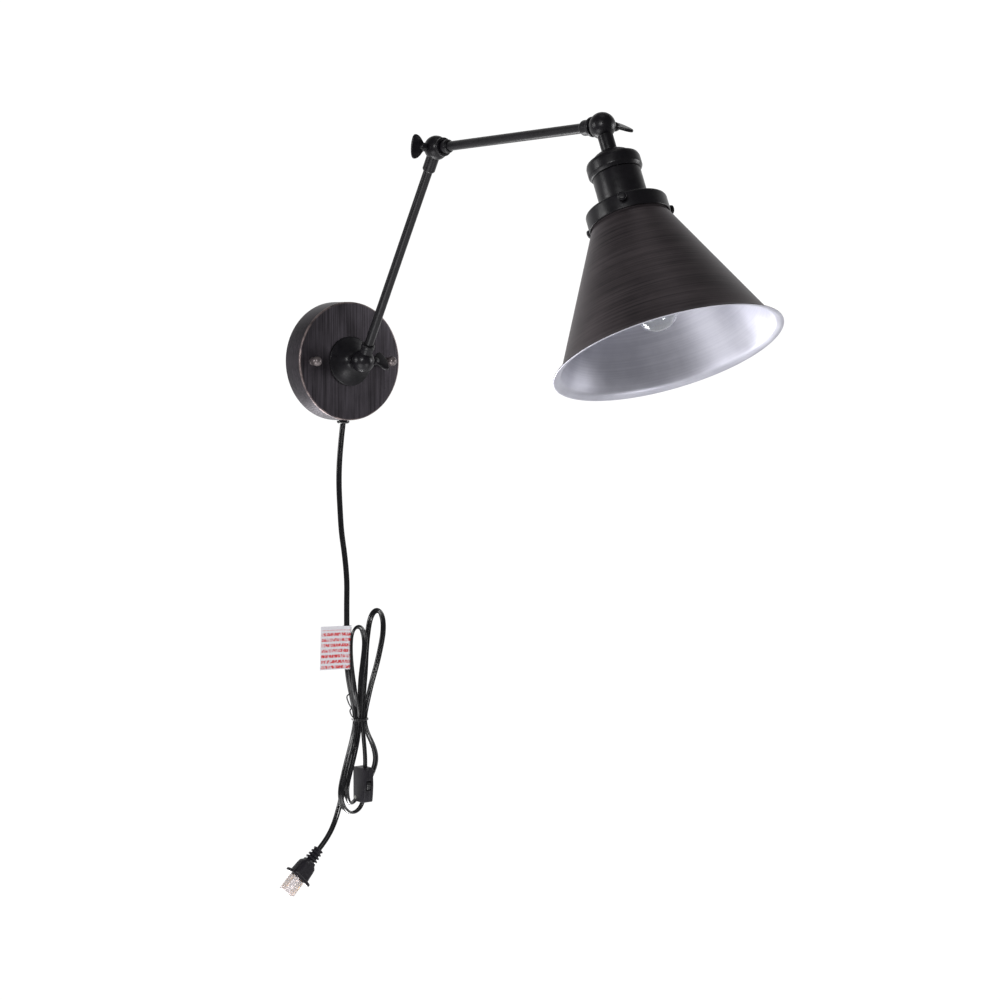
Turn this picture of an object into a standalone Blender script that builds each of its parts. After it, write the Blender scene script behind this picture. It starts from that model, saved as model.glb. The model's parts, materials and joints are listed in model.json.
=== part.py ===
"""Swing arm wall lamp with a plug-in cord. Units are metres, +Z is up.

The origin is the centre of the wall face: the wall is the plane y = 0 and the lamp reaches towards -Y.
Three ball knuckles turn about axes along X: one at the wall, one at the elbow, one above the shade.
"""

from math import acos, asin, cos, degrees, pi, radians, sin

import bmesh
import bpy
from mathutils import Matrix, Vector

# fits
GAP = 0.0003  # air between two pieces that touch
BORE_CLEARANCE = 0.0003  # radius of a bore beyond the pin in it
SHEET = 0.0010  # spun steel
FINE_SEGMENTS = 40
ROUND_SEGMENTS = 24
TUBE_SEGMENTS = 20
SMALL_SEGMENTS = 14
FINE_STEPS = 20  # between two points of a route, before it is spaced evenly

# wall canopy
CANOPY_RADIUS = 0.0600
CANOPY_DEPTH = 0.0270
CANOPY_EDGE = 0.0015
CANOPY_TAPER = 0.0003  # radius added at the wall
NUT_SPACING = 0.0902
NUT_NECK = 0.0036
NUT_DOME = 0.0050
NUT_RISE = 0.0084  # from the canopy's face to the dome's centre
STUD_RADIUS = 0.0020
SLOT_SHIFT = 0.0240  # of each wall screw's slot, from the middle
SLOT_HALF = (0.0075, 0.0024)
BRACKET_LENGTH = 0.1040
BRACKET_WIDTH = 0.0260
BRACKET_THICKNESS = 0.0020
CORD_HOLE_DEPTH = 0.0130  # from the wall to the centre of the cord's hole
CORD_HOLE_RADIUS = 0.0043
CONE_RADIUS = 0.0250
CONE_NECK = 0.0074
NIPPLE_RADIUS = 0.0048
NIPPLE_BORE = 0.0035
NIPPLE_START = 0.0170  # from the wall
WASHER_RADIUS = 0.0085  # and the hexagon nut's, across its corners
WASHER_THICKNESS = 0.0012
NUT_THICKNESS = 0.0045
SPIGOT_RADIUS = 0.0060  # of the base knuckle's root, inside the cone

# arms
BASE_REACH = 0.0500  # from the wall to the first knuckle's centre
LOWER_ARM = 0.2395  # centre to centre
UPPER_ARM = 0.2460
LOWER_ELEVATION = radians(57.85)  # above straight out from the wall
UPPER_ELEVATION = radians(0.0)
HEAD_TILT = radians(23.9)  # outward from straight down
TUBE_RADIUS = 0.0045
TUBE_BORE = 0.0036
WIRE_RADIUS = 0.0018

# knuckles
BALL_RADIUS = 0.0117
KNUCKLE_SEGMENTS = 20
BALL_RELIEF = 0.0004  # between a neck's root and the other half's ball
TUBE_SOCKET = TUBE_RADIUS + BORE_CLEARANCE
WIRE_BORE = 0.0025
WIRE_BORE_START = 0.0050
LOCK_RING_BORE = 0.0061
LOCK_RING_RADIUS = 0.0089
LOCK_RING_SPAN = (0.0105, 0.0135)

# wing screws
SCREW_RADIUS = 0.0024
SCREW_REACH = 0.0060  # past the knuckle's centre
WING_ROOT = 0.0143
WING_TIP = 0.0288
WING_HALF_SPAN = 0.0115
WING_THICKNESS = 0.0026
HUB_RADIUS = 0.0042
HUB_START = 0.0124
HUB_END = 0.0175
BASE_WING_TURN = radians(47.0)  # of each plate, from straight out
ELBOW_WING_TURN = radians(97.5)
HEAD_WING_TURN = radians(21.0)

# head, as distances from the head knuckle's centre along the head's axis
STEM_RADIUS = 0.0068
STEM_END = 0.0245
TENON_END = 0.0315  # of the stem's thinner end, inside the cap
CAP_RADIUS = 0.0238
CAP_END = 0.0474
CUP_RADIUS = 0.0212
CUP_END = 0.0762
RING_RADIUS = 0.0357
RING_TOP = 0.0767
RING_END = 0.0920
HOLDER_RADIUS = 0.0180
SHADE_NECK = 0.0338
SHADE_CONE_TOP = (0.0352, 0.0950)
SHADE_CONE_END = (0.0905, 0.2070)
SHADE_LIP = (0.0994, 0.2138)
SHADE_SCREW_STATION = 0.0840
SHADE_SCREW_ANGLES = (15, 135, 255)
BULB_RADIUS = 0.0190
BULB_TIP = 0.1925
FILAMENT_LEGS = 5
FILAMENT_SPAN = (0.1240, 0.1640)
FILAMENT_RADIUS = 0.0075
FILAMENT_WIRE = 0.0005

# cord
CORD_RADIUS = 0.0029
CORD_STEP = 2.5  # diameters between the tube's points
HANK_PLANE = -0.0170
HANK_DEPTH = 0.0140
TIE_HEIGHT = -0.3690
TIE_HALF_WIDTH = 0.0097
SWITCH_CENTRE = Vector((0.0185, -0.0195, -0.4370))
SWITCH_HALF = Vector((0.0055, 0.0105, 0.0180))
WHEEL_RADIUS = 0.0080
WHEEL_HALF_WIDTH = 0.0022
WHEEL_SHIFT = 0.0032  # of the wheel's centre towards the room
RIVET_SHIFT = (0.0070, -0.0140)  # of the case's rivet, in Y and Z
PLUG_START = Vector((-0.0345, HANK_PLANE, -0.4980))
PLUG_TILT = radians(45.0)
RIB_PITCH = 0.0038
FLANGE_FACE = 0.0378
FLANGE_HALF = (0.0147, 0.0078)
BLADE_SPACING = 0.0127
BLADE_HALF = (0.00075, 0.0032)
BLADE_END = 0.0540
COVER_HALF = (0.0082, 0.0044)
COVER_WALL = 0.0007
COVER_END = 0.0562

# the free cord from its bushing down to the hank, and from the hank to the plug
DROP_ROUTE = [
    (0.0000, -0.0130, -0.0638),
    (-0.0012, -0.0130, -0.0700),
    (-0.0046, -0.0131, -0.1000),
    (-0.0056, -0.0133, -0.1250),
    (-0.0047, -0.0136, -0.1500),
    (-0.0034, -0.0142, -0.1740),
    (-0.0002, -0.0150, -0.1990),
    (0.0015, -0.0160, -0.2240),
    (0.0008, -0.0168, -0.2480),
    (0.0006, -0.0170, -0.2618),
]
TAIL_ROUTE = [
    (-0.0086, HANK_PLANE, -0.4602),
    (-0.0120, HANK_PLANE, -0.4680),
    (-0.0181, HANK_PLANE, -0.4790),
    (-0.0260, HANK_PLANE, -0.4894),
    (-0.0343, HANK_PLANE, -0.4978),
]
# the hank's outline in X and Z, seen from the room
HANK_OUTLINE = [
    (-0.0030, -0.2740),
    (-0.0030, -0.3050),
    (0.0010, -0.3350),
    (0.0072, -0.3600),
    (0.0080, -0.3720),
    (0.0040, -0.3880),
    (-0.0060, -0.4120),
    (-0.0104, -0.4360),
    (-0.0062, -0.4570),
    (0.0056, -0.4690),
    (0.0220, -0.4660),
    (0.0340, -0.4500),
    (0.0390, -0.4150),
    (0.0345, -0.3950),
    (0.0262, -0.3790),
    (0.0250, -0.3680),
    (0.0312, -0.3450),
    (0.0420, -0.3050),
    (0.0485, -0.2760),
    (0.0470, -0.2610),
    (0.0385, -0.2535),
    (0.0280, -0.2580),
    (0.0160, -0.2622),
    (0.0030, -0.2624),
]


def clear_scene():
    for thing in list(bpy.data.objects):
        bpy.data.objects.remove(thing, do_unlink=True)


# materials


def finish(name, colour, roughness, metallic=0.0, clear=0.0):
    material = bpy.data.materials.get(name) or bpy.data.materials.new(name)
    material.use_nodes = True
    shader = material.node_tree.nodes["Principled BSDF"]
    shader.inputs["Base Color"].default_value = (*colour, 1.0)
    shader.inputs["Roughness"].default_value = roughness
    shader.inputs["Metallic"].default_value = metallic
    shader.inputs["Transmission Weight"].default_value = clear
    return material


def black_metal():
    return finish("black_metal", (0.014, 0.014, 0.016), 0.42, 0.3)


def brushed_gunmetal():
    return finish("brushed_gunmetal", (0.055, 0.048, 0.052), 0.4, 0.8)


def zinc_steel():
    return finish("zinc_steel", (0.5, 0.5, 0.5), 0.35, 1.0)


def brass():
    return finish("brass", (0.75, 0.55, 0.25), 0.35, 1.0)


def shade_metal():
    return finish("shade_metal", (0.045, 0.04, 0.038), 0.5, 0.6)


def black_vinyl():
    return finish("black_vinyl", (0.012, 0.012, 0.014), 0.38)


def white_porcelain():
    return finish("white_porcelain", (0.8, 0.8, 0.78), 0.3)


def tag_paper():
    return finish("tag_paper", (0.85, 0.83, 0.84), 0.6)


def clear_glass():
    return finish("clear_glass", (1.0, 1.0, 1.0), 0.03, 0.0, 1.0)


def clear_plastic():
    return finish("clear_plastic", (0.95, 0.92, 0.92), 0.15, 0.0, 0.9)


def filament_wire():
    return finish("filament_wire", (0.8, 0.5, 0.15), 0.4, 0.6)


# mesh tools


def new_object(name, data, parent, material):
    thing = bpy.data.objects.new(name, data)
    bpy.context.collection.objects.link(thing)
    thing.parent = parent
    if material:
        data.materials.append(material)
    return thing


def mesh_object(name, shape, parent, material, place=None, sharp=35):
    """Turns a bmesh into an object under parent, its mesh moved by the matrix place."""
    if place:
        shape.transform(place)
    shape.normal_update()
    bmesh.ops.recalc_face_normals(shape, faces=shape.faces)
    mesh = bpy.data.meshes.new(name)
    shape.to_mesh(mesh)
    shape.free()
    mesh.shade_smooth()
    mesh.set_sharp_from_angle(angle=radians(sharp))
    return new_object(name, mesh, parent, material)


def pivot(name, parent, location, turn_x=0.0):
    empty = bpy.data.objects.new(name, None)
    bpy.context.collection.objects.link(empty)
    empty.parent = parent
    empty.location = location
    empty.rotation_euler = (turn_x, 0.0, 0.0)
    empty.empty_display_size = 0.02
    return empty


def lathe(profile, segments=ROUND_SEGMENTS):
    """A bmesh turned about Z from points (radius, z).

    A profile that never meets the axis is a closed loop, like a ring's.
    """
    shape = bmesh.new()
    closed = all(radius > 0 for radius, _ in profile)
    rings = []
    for radius, z in profile:
        if radius > 0:
            angles = [2 * pi * i / segments for i in range(segments)]
            rings.append([shape.verts.new((radius * cos(a), radius * sin(a), z)) for a in angles])
        else:
            rings.append([shape.verts.new((0.0, 0.0, z))] * segments)
    pairs = list(zip(rings, rings[1:]))
    if closed:
        pairs.append((rings[-1], rings[0]))
    for low, high in pairs:
        for i in range(segments):
            j = (i + 1) % segments
            corners = [low[i], low[j], high[j], high[i]]
            distinct = list(dict.fromkeys(corners))
            if len(distinct) > 2:
                shape.faces.new(distinct)
    return shape


def arc(centre, radius, start, end, steps):
    """Points (r, z) on a circle of a profile, from angle start to end in degrees, both included."""
    turns = [radians(start + (end - start) * i / steps) for i in range(steps + 1)]
    return [(centre[0] + radius * cos(a), centre[1] + radius * sin(a)) for a in turns]


def prism(outline, low, high):
    """A bmesh of a flat outline in X and Y between two heights."""
    shape = bmesh.new()
    bottom = [shape.verts.new((x, y, low)) for x, y in outline]
    top = [shape.verts.new((x, y, high)) for x, y in outline]
    shape.faces.new(bottom)
    shape.faces.new(top)
    for i in range(len(outline)):
        j = (i + 1) % len(outline)
        shape.faces.new((bottom[i], bottom[j], top[j], top[i]))
    return shape


def rounded_rectangle(half_x, half_y, corner, steps=3):
    points = []
    for turn, (sx, sy) in enumerate(((1, 1), (-1, 1), (-1, -1), (1, -1))):
        centre = (sx * (half_x - corner), sy * (half_y - corner))
        points += arc(centre, corner, 90 * turn, 90 * turn + 90, steps)
    return points


def loft(sections, corner_share=0.6, steps=3):
    """A bmesh through rounded rectangles (z, half_x, half_y), capped at both ends."""
    shape = bmesh.new()
    rings = []
    for z, half_x, half_y in sections:
        outline = rounded_rectangle(half_x, half_y, corner_share * min(half_x, half_y), steps)
        rings.append([shape.verts.new((x, y, z)) for x, y in outline])
    for low, high in zip(rings, rings[1:]):
        for i in range(len(low)):
            j = (i + 1) % len(low)
            shape.faces.new((low[i], low[j], high[j], high[i]))
    shape.faces.new(rings[0])
    shape.faces.new(rings[-1])
    return shape


def combine(thing, tool, operation):
    """A Boolean on thing with a hidden tool object."""
    tool.hide_render = True
    tool.display_type = "WIRE"
    modifier = thing.modifiers.new(tool.name, "BOOLEAN")
    modifier.operation = operation
    modifier.solver = "EXACT"
    modifier.object = tool


def cut(thing, tool):
    combine(thing, tool, "DIFFERENCE")


def rod_along_x(radius, start, end, segments=SMALL_SEGMENTS):
    shape = lathe([(0.0, start), (radius, start), (radius, end), (0.0, end)], segments)
    shape.transform(Matrix.Rotation(pi / 2, 4, "Y"))
    return shape


def smooth_curve(route, step):
    """Points about step apart on a Catmull-Rom curve through the route."""
    points = [Vector(p) for p in route]
    padded = [2 * points[0] - points[1]] + points + [2 * points[-1] - points[-2]]
    dense = []
    for a, b, c, d in zip(padded, padded[1:], padded[2:], padded[3:]):
        for i in range(FINE_STEPS):
            t = i / FINE_STEPS
            square = 2 * a - 5 * b + 4 * c - d
            cube = 3 * b - a - 3 * c + d
            dense.append((2 * b + (c - a) * t + square * t**2 + cube * t**3) / 2)
    dense.append(points[-1])
    lengths = [0.0]
    for a, b in zip(dense, dense[1:]):
        lengths.append(lengths[-1] + (b - a).length)
    count = max(2, round(lengths[-1] / step))
    picked = []
    for k in range(count + 1):
        wanted = lengths[-1] * k / count
        nearest = min(range(len(dense)), key=lambda i: abs(lengths[i] - wanted))
        picked.append(dense[nearest])
    return picked


def tube(name, points, radius, parent, material, resolution=2):
    curve = bpy.data.curves.new(name, "CURVE")
    curve.dimensions = "3D"
    curve.bevel_depth = radius
    curve.bevel_resolution = resolution
    curve.use_fill_caps = True
    spline = curve.splines.new("POLY")
    spline.points.add(len(points) - 1)
    for point, place in zip(spline.points, points):
        point.co = (*place, 1.0)
    return new_object(name, curve, parent, material)


# wall side: stations are distances from the wall


def wall_frame():
    """Turns a lathe's +Z to face the room."""
    return Matrix.Rotation(pi / 2, 4, "X")


def wall_bracket():
    """A steel strap across the junction box, with two wall screw slots and two stud holes."""
    outline = rounded_rectangle(BRACKET_LENGTH / 2, BRACKET_WIDTH / 2, BRACKET_WIDTH / 2.01, 6)
    strap = prism(outline, 0.0, BRACKET_THICKNESS)
    plate = mesh_object("wall_bracket", strap, None, zinc_steel(), wall_frame())
    low, high = -BRACKET_THICKNESS, 2 * BRACKET_THICKNESS
    hole_radius = STUD_RADIUS + BORE_CLEARANCE
    for side in (-1, 1):
        slot = prism(rounded_rectangle(*SLOT_HALF, 0.95 * SLOT_HALF[1]), low, high)
        place = wall_frame() @ Matrix.Translation((side * SLOT_SHIFT, 0.0, 0.0))
        cut(plate, mesh_object("slot_cutter", slot, None, None, place))
        hole = lathe([(0.0, low), (hole_radius, low), (hole_radius, high), (0.0, high)], SMALL_SEGMENTS)
        place = wall_frame() @ Matrix.Translation((side * NUT_SPACING / 2, 0.0, 0.0))
        cut(plate, mesh_object("stud_hole_cutter", hole, None, None, place))


def canopy():
    """A shallow spun cup with a slight taper, open to the wall."""
    edge = CANOPY_EDGE
    outer = CANOPY_RADIUS
    hole_radius = NIPPLE_RADIUS + 0.0005
    profile = [(outer + CANOPY_TAPER, GAP), (outer, CANOPY_DEPTH - edge)]
    profile += arc((outer - edge, CANOPY_DEPTH - edge), edge, 0, 90, 3)[1:]
    profile += [(hole_radius, CANOPY_DEPTH), (hole_radius, CANOPY_DEPTH - SHEET)]
    profile += [(outer - edge, CANOPY_DEPTH - SHEET), (outer - SHEET, CANOPY_DEPTH - edge - 0.0005)]
    profile += [(outer + CANOPY_TAPER - SHEET, GAP)]
    cup = mesh_object("canopy", lathe(profile, FINE_SEGMENTS), None, brushed_gunmetal(), wall_frame())
    for side in (-1, 1):
        hole = [(0.0, 0.020), (0.0026, 0.020), (0.0026, 0.030), (0.0, 0.030)]
        place = wall_frame() @ Matrix.Translation((side * NUT_SPACING / 2, 0.0, 0.0))
        cut(cup, mesh_object("canopy_hole_cutter", lathe(hole, SMALL_SEGMENTS), None, None, place))
    low, high = -CANOPY_RADIUS - 0.010, -CANOPY_RADIUS + 0.010
    cord_hole = [(0.0, low), (CORD_HOLE_RADIUS, low), (CORD_HOLE_RADIUS, high), (0.0, high)]
    place = Matrix.Translation((0.0, -CORD_HOLE_DEPTH, 0.0))
    cut(cup, mesh_object("cord_hole_cutter", lathe(cord_hole, SMALL_SEGMENTS), None, None, place))


def studs_and_cap_nuts():
    """Two threaded studs from the bracket, and the round cap nuts that hold the canopy on them."""
    face = CANOPY_DEPTH + GAP
    dome = CANOPY_DEPTH + NUT_RISE
    waist = -degrees(acos(NUT_NECK / NUT_DOME))
    for side, word in ((-1, "left"), (1, "right")):
        place = wall_frame() @ Matrix.Translation((side * NUT_SPACING / 2, 0.0, 0.0))
        stud = [(0.0, 0.0004), (STUD_RADIUS, 0.0004), (STUD_RADIUS, dome), (0.0, dome)]
        mesh_object("bracket_stud_" + word, lathe(stud, SMALL_SEGMENTS), None, zinc_steel(), place)
        bore = STUD_RADIUS + BORE_CLEARANCE
        nut = [(bore, face), (NUT_NECK, face)]
        nut += arc((0.0, dome), NUT_DOME, waist, 90, 7)[:-1] + [(0.0, dome + NUT_DOME)]
        nut += [(0.0, dome + GAP), (bore, dome + GAP)]
        mesh_object("cap_nut_" + word, closed_lathe(nut), None, brushed_gunmetal(), place)


def closed_lathe(profile, segments=SMALL_SEGMENTS):
    """A lathe of a blind-bored piece: its profile meets the axis twice and its free ends are joined."""
    shape = lathe(profile, segments)
    bmesh.ops.remove_doubles(shape, verts=shape.verts, dist=1e-6)
    loose = [edge for edge in shape.edges if edge.is_boundary]
    bmesh.ops.bridge_loops(shape, edges=loose)
    return shape


def base_cone():
    """The trumpet boss on the canopy's face, bored for the swivel's nipple."""
    base = CANOPY_DEPTH + GAP
    top = BASE_REACH - 0.0124
    bore = NIPPLE_RADIUS + 0.0004
    spigot_bore = SPIGOT_RADIUS + BORE_CLEARANCE
    profile = [(bore, base), (CONE_RADIUS, base), (CONE_RADIUS, base + 0.0008)]
    flare = 7
    for i in range(1, flare):
        share = i / flare
        radius = CONE_NECK + (CONE_RADIUS - 0.0006 - CONE_NECK) * (1 - share) ** 2.1
        profile.append((radius, base + 0.0012 + (top - base - 0.0012) * share))
    profile += [(CONE_NECK, top), (spigot_bore, top), (spigot_bore, 0.0305), (bore, 0.0305)]
    mesh_object("base_cone", lathe(profile, ROUND_SEGMENTS), None, black_metal(), wall_frame())


def cord_bushing():
    """The snap-in grommet in the canopy's side, where the cord goes in."""
    bore = CORD_RADIUS + 0.0004
    lip = -CANOPY_RADIUS + 0.0015
    flange_top = -CANOPY_RADIUS - 0.0005
    profile = [(bore, -0.0635), (0.0060, -0.0635), (0.0065, -0.0630), (0.0065, flange_top)]
    profile += [(0.0040, flange_top), (0.0040, lip), (0.0051, lip)]
    profile += [(0.0044, lip + 0.0030), (bore, lip + 0.0030)]
    place = Matrix.Translation((0.0, -CORD_HOLE_DEPTH, 0.0))
    mesh_object("cord_bushing", lathe(profile, TUBE_SEGMENTS), None, black_vinyl(), place)


def wiring_in_canopy():
    """Two insulated leads from the cord to the twist-on connectors."""
    for side, word in ((-1, "live"), (1, "neutral")):
        end = Vector((side * 0.0200, -0.0130, -0.0300))
        route = [(side * 0.0013, -0.0130, -0.0540), (side * 0.0050, -0.0125, -0.0470)]
        route += [(side * 0.0150, -0.0124, -0.0410), (end.x - side * 0.0008, end.y, end.z - 0.0060)]
        route += [(end.x, end.y, end.z - 2 * GAP)]
        tube(word + "_lead", smooth_curve(route, 0.004), 0.0011, None, black_vinyl())
        nut = [(0.0, 0.0), (0.0052, 0.0), (0.0052, 0.0030)]
        nut += [(0.0032, 0.0150), (0.0020, 0.0160), (0.0, 0.0160)]
        place = Matrix.Translation(end)
        mesh_object("wire_nut_" + word, lathe(nut, 12), None, white_porcelain(), place)


def swivel(base_pivot):
    """The hollow nipple that the arm turns on, with its nut and washer behind the canopy's face."""
    place = Matrix.Translation((0.0, BASE_REACH, 0.0)) @ wall_frame()
    inner_face = CANOPY_DEPTH - SHEET
    bore = NIPPLE_RADIUS + BORE_CLEARANCE
    low, high = NIPPLE_START, BASE_REACH - 0.0133
    nipple = [(NIPPLE_BORE, low), (NIPPLE_RADIUS, low), (NIPPLE_RADIUS, high), (NIPPLE_BORE, high)]
    mesh_object("swivel_nipple", lathe(nipple, TUBE_SEGMENTS), base_pivot, zinc_steel(), place)
    top = inner_face - GAP
    bottom = top - WASHER_THICKNESS
    washer = [(bore, bottom), (WASHER_RADIUS, bottom), (WASHER_RADIUS, top), (bore, top)]
    mesh_object("swivel_washer", lathe(washer, TUBE_SEGMENTS), base_pivot, zinc_steel(), place)
    hexagon = arc((0.0, 0.0), WASHER_RADIUS, 0, 300, 5)
    blank = prism(hexagon, bottom - GAP - NUT_THICKNESS, bottom - GAP)
    nut = mesh_object("swivel_nut", blank, base_pivot, zinc_steel(), place)
    hole = [(0.0, 0.0100), (bore, 0.0100), (bore, 0.0300), (0.0, 0.0300)]
    cutter = lathe(hole, TUBE_SEGMENTS)
    cut(nut, mesh_object("swivel_nut_cutter", cutter, base_pivot, None, place))


# knuckles: stations are distances from the knuckle's centre along its neck


def knuckle_half(name, parent, side, neck, socket, place=None, through=False):
    """Half a ball on one side of the plane x = 0, with a full round neck along +Z.

    neck is (radius, station) points from the ball out, socket is (radius, depth) of the hole in its end.
    The neck's root is relieved where the other half's ball turns.
    """
    place = place or Matrix.Identity(4)
    material = black_metal()
    neck_radius = neck[0][0]
    meeting = (BALL_RADIUS**2 - neck_radius**2) ** 0.5
    profile = [(0.0, -BALL_RADIUS)]
    steps = 7
    for i in range(1, steps):
        angle = -pi / 2 + (pi / 2 + asin(meeting / BALL_RADIUS)) * i / steps
        profile.append((BALL_RADIUS * cos(angle), BALL_RADIUS * sin(angle)))
    profile += [(neck_radius, meeting)] + neck
    end = neck[-1][1]
    socket_radius, socket_depth = socket
    if socket_radius > 0:
        profile += [(socket_radius, end), (socket_radius, end - socket_depth)]
        profile += [(WIRE_BORE, end - socket_depth), (WIRE_BORE, WIRE_BORE_START), (0.0, WIRE_BORE_START)]
    else:
        profile += [(0.0, end)]
    half = mesh_object(name, lathe(profile, KNUCKLE_SEGMENTS), parent, material, place)
    relief = BALL_RADIUS + BALL_RELIEF
    flat = GAP / 2
    dome = [(0.0, -flat)] + [((relief**2 - flat**2) ** 0.5, -flat)]
    dome += [(relief * cos(radians(a)), relief * sin(radians(a))) for a in range(15, 90, 15)]
    dome += [(0.0, relief)]
    turn = Matrix.Rotation(-side * pi / 2, 4, "Y")
    cut(half, mesh_object(name + "_relief", lathe(dome, KNUCKLE_SEGMENTS), parent, None, place @ turn))
    far = 0.016 if through else 0.0085
    hole = rod_along_x(SCREW_RADIUS + BORE_CLEARANCE, -0.001, far)
    if side < 0:
        hole.transform(Matrix.Rotation(pi, 4, "Z"))
    cut(half, mesh_object(name + "_bolt_hole", hole, parent, None, place))


def end_frame(length):
    """A neck that points back down an arm from its far end."""
    return Matrix.Translation((0.0, 0.0, length)) @ Matrix.Rotation(pi, 4, "X")


def base_swivel_knuckle(base_pivot):
    neck = [(STEM_RADIUS, 0.0121), (SPIGOT_RADIUS, 0.0121), (SPIGOT_RADIUS, 0.0190)]
    place = Matrix.Rotation(-pi / 2, 4, "X")
    knuckle_half("base_knuckle", base_pivot, -1, neck, (NIPPLE_RADIUS + BORE_CLEARANCE, 0.0060), place)


def lower_arm(arm_pivot):
    base_neck = [(0.0062, 0.0155), (0.0067, 0.0160), (0.0067, 0.0192), (0.0056, 0.0202)]
    knuckle_half("lower_arm_base_knuckle", arm_pivot, 1, base_neck, (TUBE_SOCKET, 0.0055), None, True)
    elbow_neck = [(0.00625, 0.0232), (0.0054, 0.0246)]
    place = end_frame(LOWER_ARM)
    knuckle_half("lower_arm_elbow_knuckle", arm_pivot, -1, elbow_neck, (TUBE_SOCKET, 0.0060), place, True)
    arm_tube("lower_arm", arm_pivot, 0.0150, LOWER_ARM - 0.0190)


def upper_arm(arm_pivot):
    elbow_neck = [(0.0058, 0.0148), (0.0064, 0.0153), (0.0064, 0.0205), (0.0053, 0.0225)]
    knuckle_half("upper_arm_elbow_knuckle", arm_pivot, 1, elbow_neck, (TUBE_SOCKET, 0.0055))
    head_neck = [(0.0058, 0.0148), (0.0069, 0.0153), (0.0069, 0.0235), (0.0053, 0.0262)]
    place = end_frame(UPPER_ARM)
    knuckle_half("upper_arm_head_knuckle", arm_pivot, -1, head_neck, (TUBE_SOCKET, 0.0080), place)
    arm_tube("upper_arm", arm_pivot, 0.0174, UPPER_ARM - 0.0186)
    low, high = LOCK_RING_SPAN
    for name, where in (("elbow_lock_ring", None), ("head_lock_ring", place)):
        radius = LOCK_RING_RADIUS
        profile = [(LOCK_RING_BORE, low), (radius - 0.0005, low), (radius, low + 0.0005)]
        profile += [(radius, high - 0.0008), (radius - 0.0008, high), (LOCK_RING_BORE, high)]
        mesh_object(name, lathe(profile, TUBE_SEGMENTS), arm_pivot, black_metal(), where)


def arm_tube(word, arm_pivot, start, end):
    """A round steel tube and the twin wire inside it."""
    profile = [(TUBE_BORE, start), (TUBE_RADIUS, start), (TUBE_RADIUS, end), (TUBE_BORE, end)]
    mesh_object(word + "_tube", lathe(profile, TUBE_SEGMENTS), arm_pivot, black_metal())
    low, high = start + 0.001, end - 0.001
    wire = [(0.0, low), (WIRE_RADIUS, low), (WIRE_RADIUS, high), (0.0, high)]
    mesh_object(word + "_wire", lathe(wire, 8), arm_pivot, black_vinyl())


def wing_screw(name, parent, side, turn, station=0.0):
    """A thumbscrew across a knuckle: a shank along X with a fan-shaped plate, turned about X by turn."""
    outline = [(WING_ROOT, 0.0030), (0.0165, 0.0058), (0.0190, 0.0086), (0.0217, 0.0107)]
    outline += [(0.0244, WING_HALF_SPAN), (0.0262, 0.0109), (0.0273, 0.0088)]
    outline += [(0.0283, 0.0050), (WING_TIP, 0.0)]
    outline += [(x, -y) for x, y in reversed(outline[:-1])]
    place = Matrix.Rotation(turn, 4, "X") @ Matrix.Scale(side, 4, (1, 0, 0))
    shape = prism(outline, -WING_THICKNESS / 2, WING_THICKNESS / 2)
    plate = mesh_object(name, shape, parent, black_metal(), place)
    plate.location = (0.0, 0.0, station)
    shank = ("_shank", SCREW_RADIUS, -SCREW_REACH, WING_ROOT + 0.0007)
    hub = ("_hub", HUB_RADIUS, HUB_START, HUB_END)
    for word, radius, near, far in (shank, hub):
        start, end = sorted((side * near, side * far))
        rod = mesh_object(name + word, rod_along_x(radius, start, end), parent, None)
        rod.location = plate.location
        combine(plate, rod, "UNION")


# head: stations run down the head's axis from the head knuckle's centre


def head_knuckle(head_pivot):
    neck = [(STEM_RADIUS, STEM_END), (NIPPLE_RADIUS, STEM_END), (NIPPLE_RADIUS, TENON_END)]
    knuckle_half("head_knuckle", head_pivot, 1, neck, (0.0, 0.0), None, True)


def socket_cap(head_pivot):
    """The stepped, domed cap over the lampholder."""
    bore = NIPPLE_RADIUS + BORE_CLEARANCE
    top = STEM_END + GAP
    profile = [(bore, top), (0.0072, top), (0.0112, 0.0262), (0.0155, 0.0288), (0.0190, 0.0322)]
    profile += [(0.0204, 0.0326), (0.0226, 0.0338), (CAP_RADIUS, 0.0364), (CAP_RADIUS, 0.0444)]
    inner = CUP_RADIUS - 0.0010
    profile += [(CUP_RADIUS + 0.0006, CAP_END), (inner, CAP_END), (inner, 0.0395)]
    profile += [(0.0180, 0.0350), (0.0130, 0.0312), (bore, 0.0290)]
    mesh_object("socket_cap", lathe(profile, ROUND_SEGMENTS), head_pivot, black_metal())


def socket_cup(head_pivot):
    low = CAP_END + GAP
    inner = CUP_RADIUS - 0.0012
    profile = [(inner, low), (CUP_RADIUS, low), (CUP_RADIUS, CUP_END), (inner, CUP_END)]
    mesh_object("socket_cup", lathe(profile, ROUND_SEGMENTS), head_pivot, black_metal())


def lampholder(head_pivot):
    """The insulating body, its screw shell and its centre contact."""
    body = [(0.0, 0.0520), (HOLDER_RADIUS, 0.0520), (HOLDER_RADIUS, 0.0915), (0.0146, 0.0915)]
    body += [(0.0146, 0.0560), (0.0, 0.0560)]
    mesh_object("lampholder", lathe(body, 28), head_pivot, white_porcelain())
    shell = [(0.0137, 0.0620), (0.0143, 0.0620), (0.0143, 0.0900), (0.0137, 0.0900)]
    mesh_object("screw_shell", lathe(shell, 28), head_pivot, brass())
    contact = [(0.0, 0.0563), (0.0055, 0.0563), (0.0055, 0.0570), (0.0020, 0.0590), (0.0, 0.0590)]
    mesh_object("centre_contact", lathe(contact, 12), head_pivot, brass())


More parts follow.
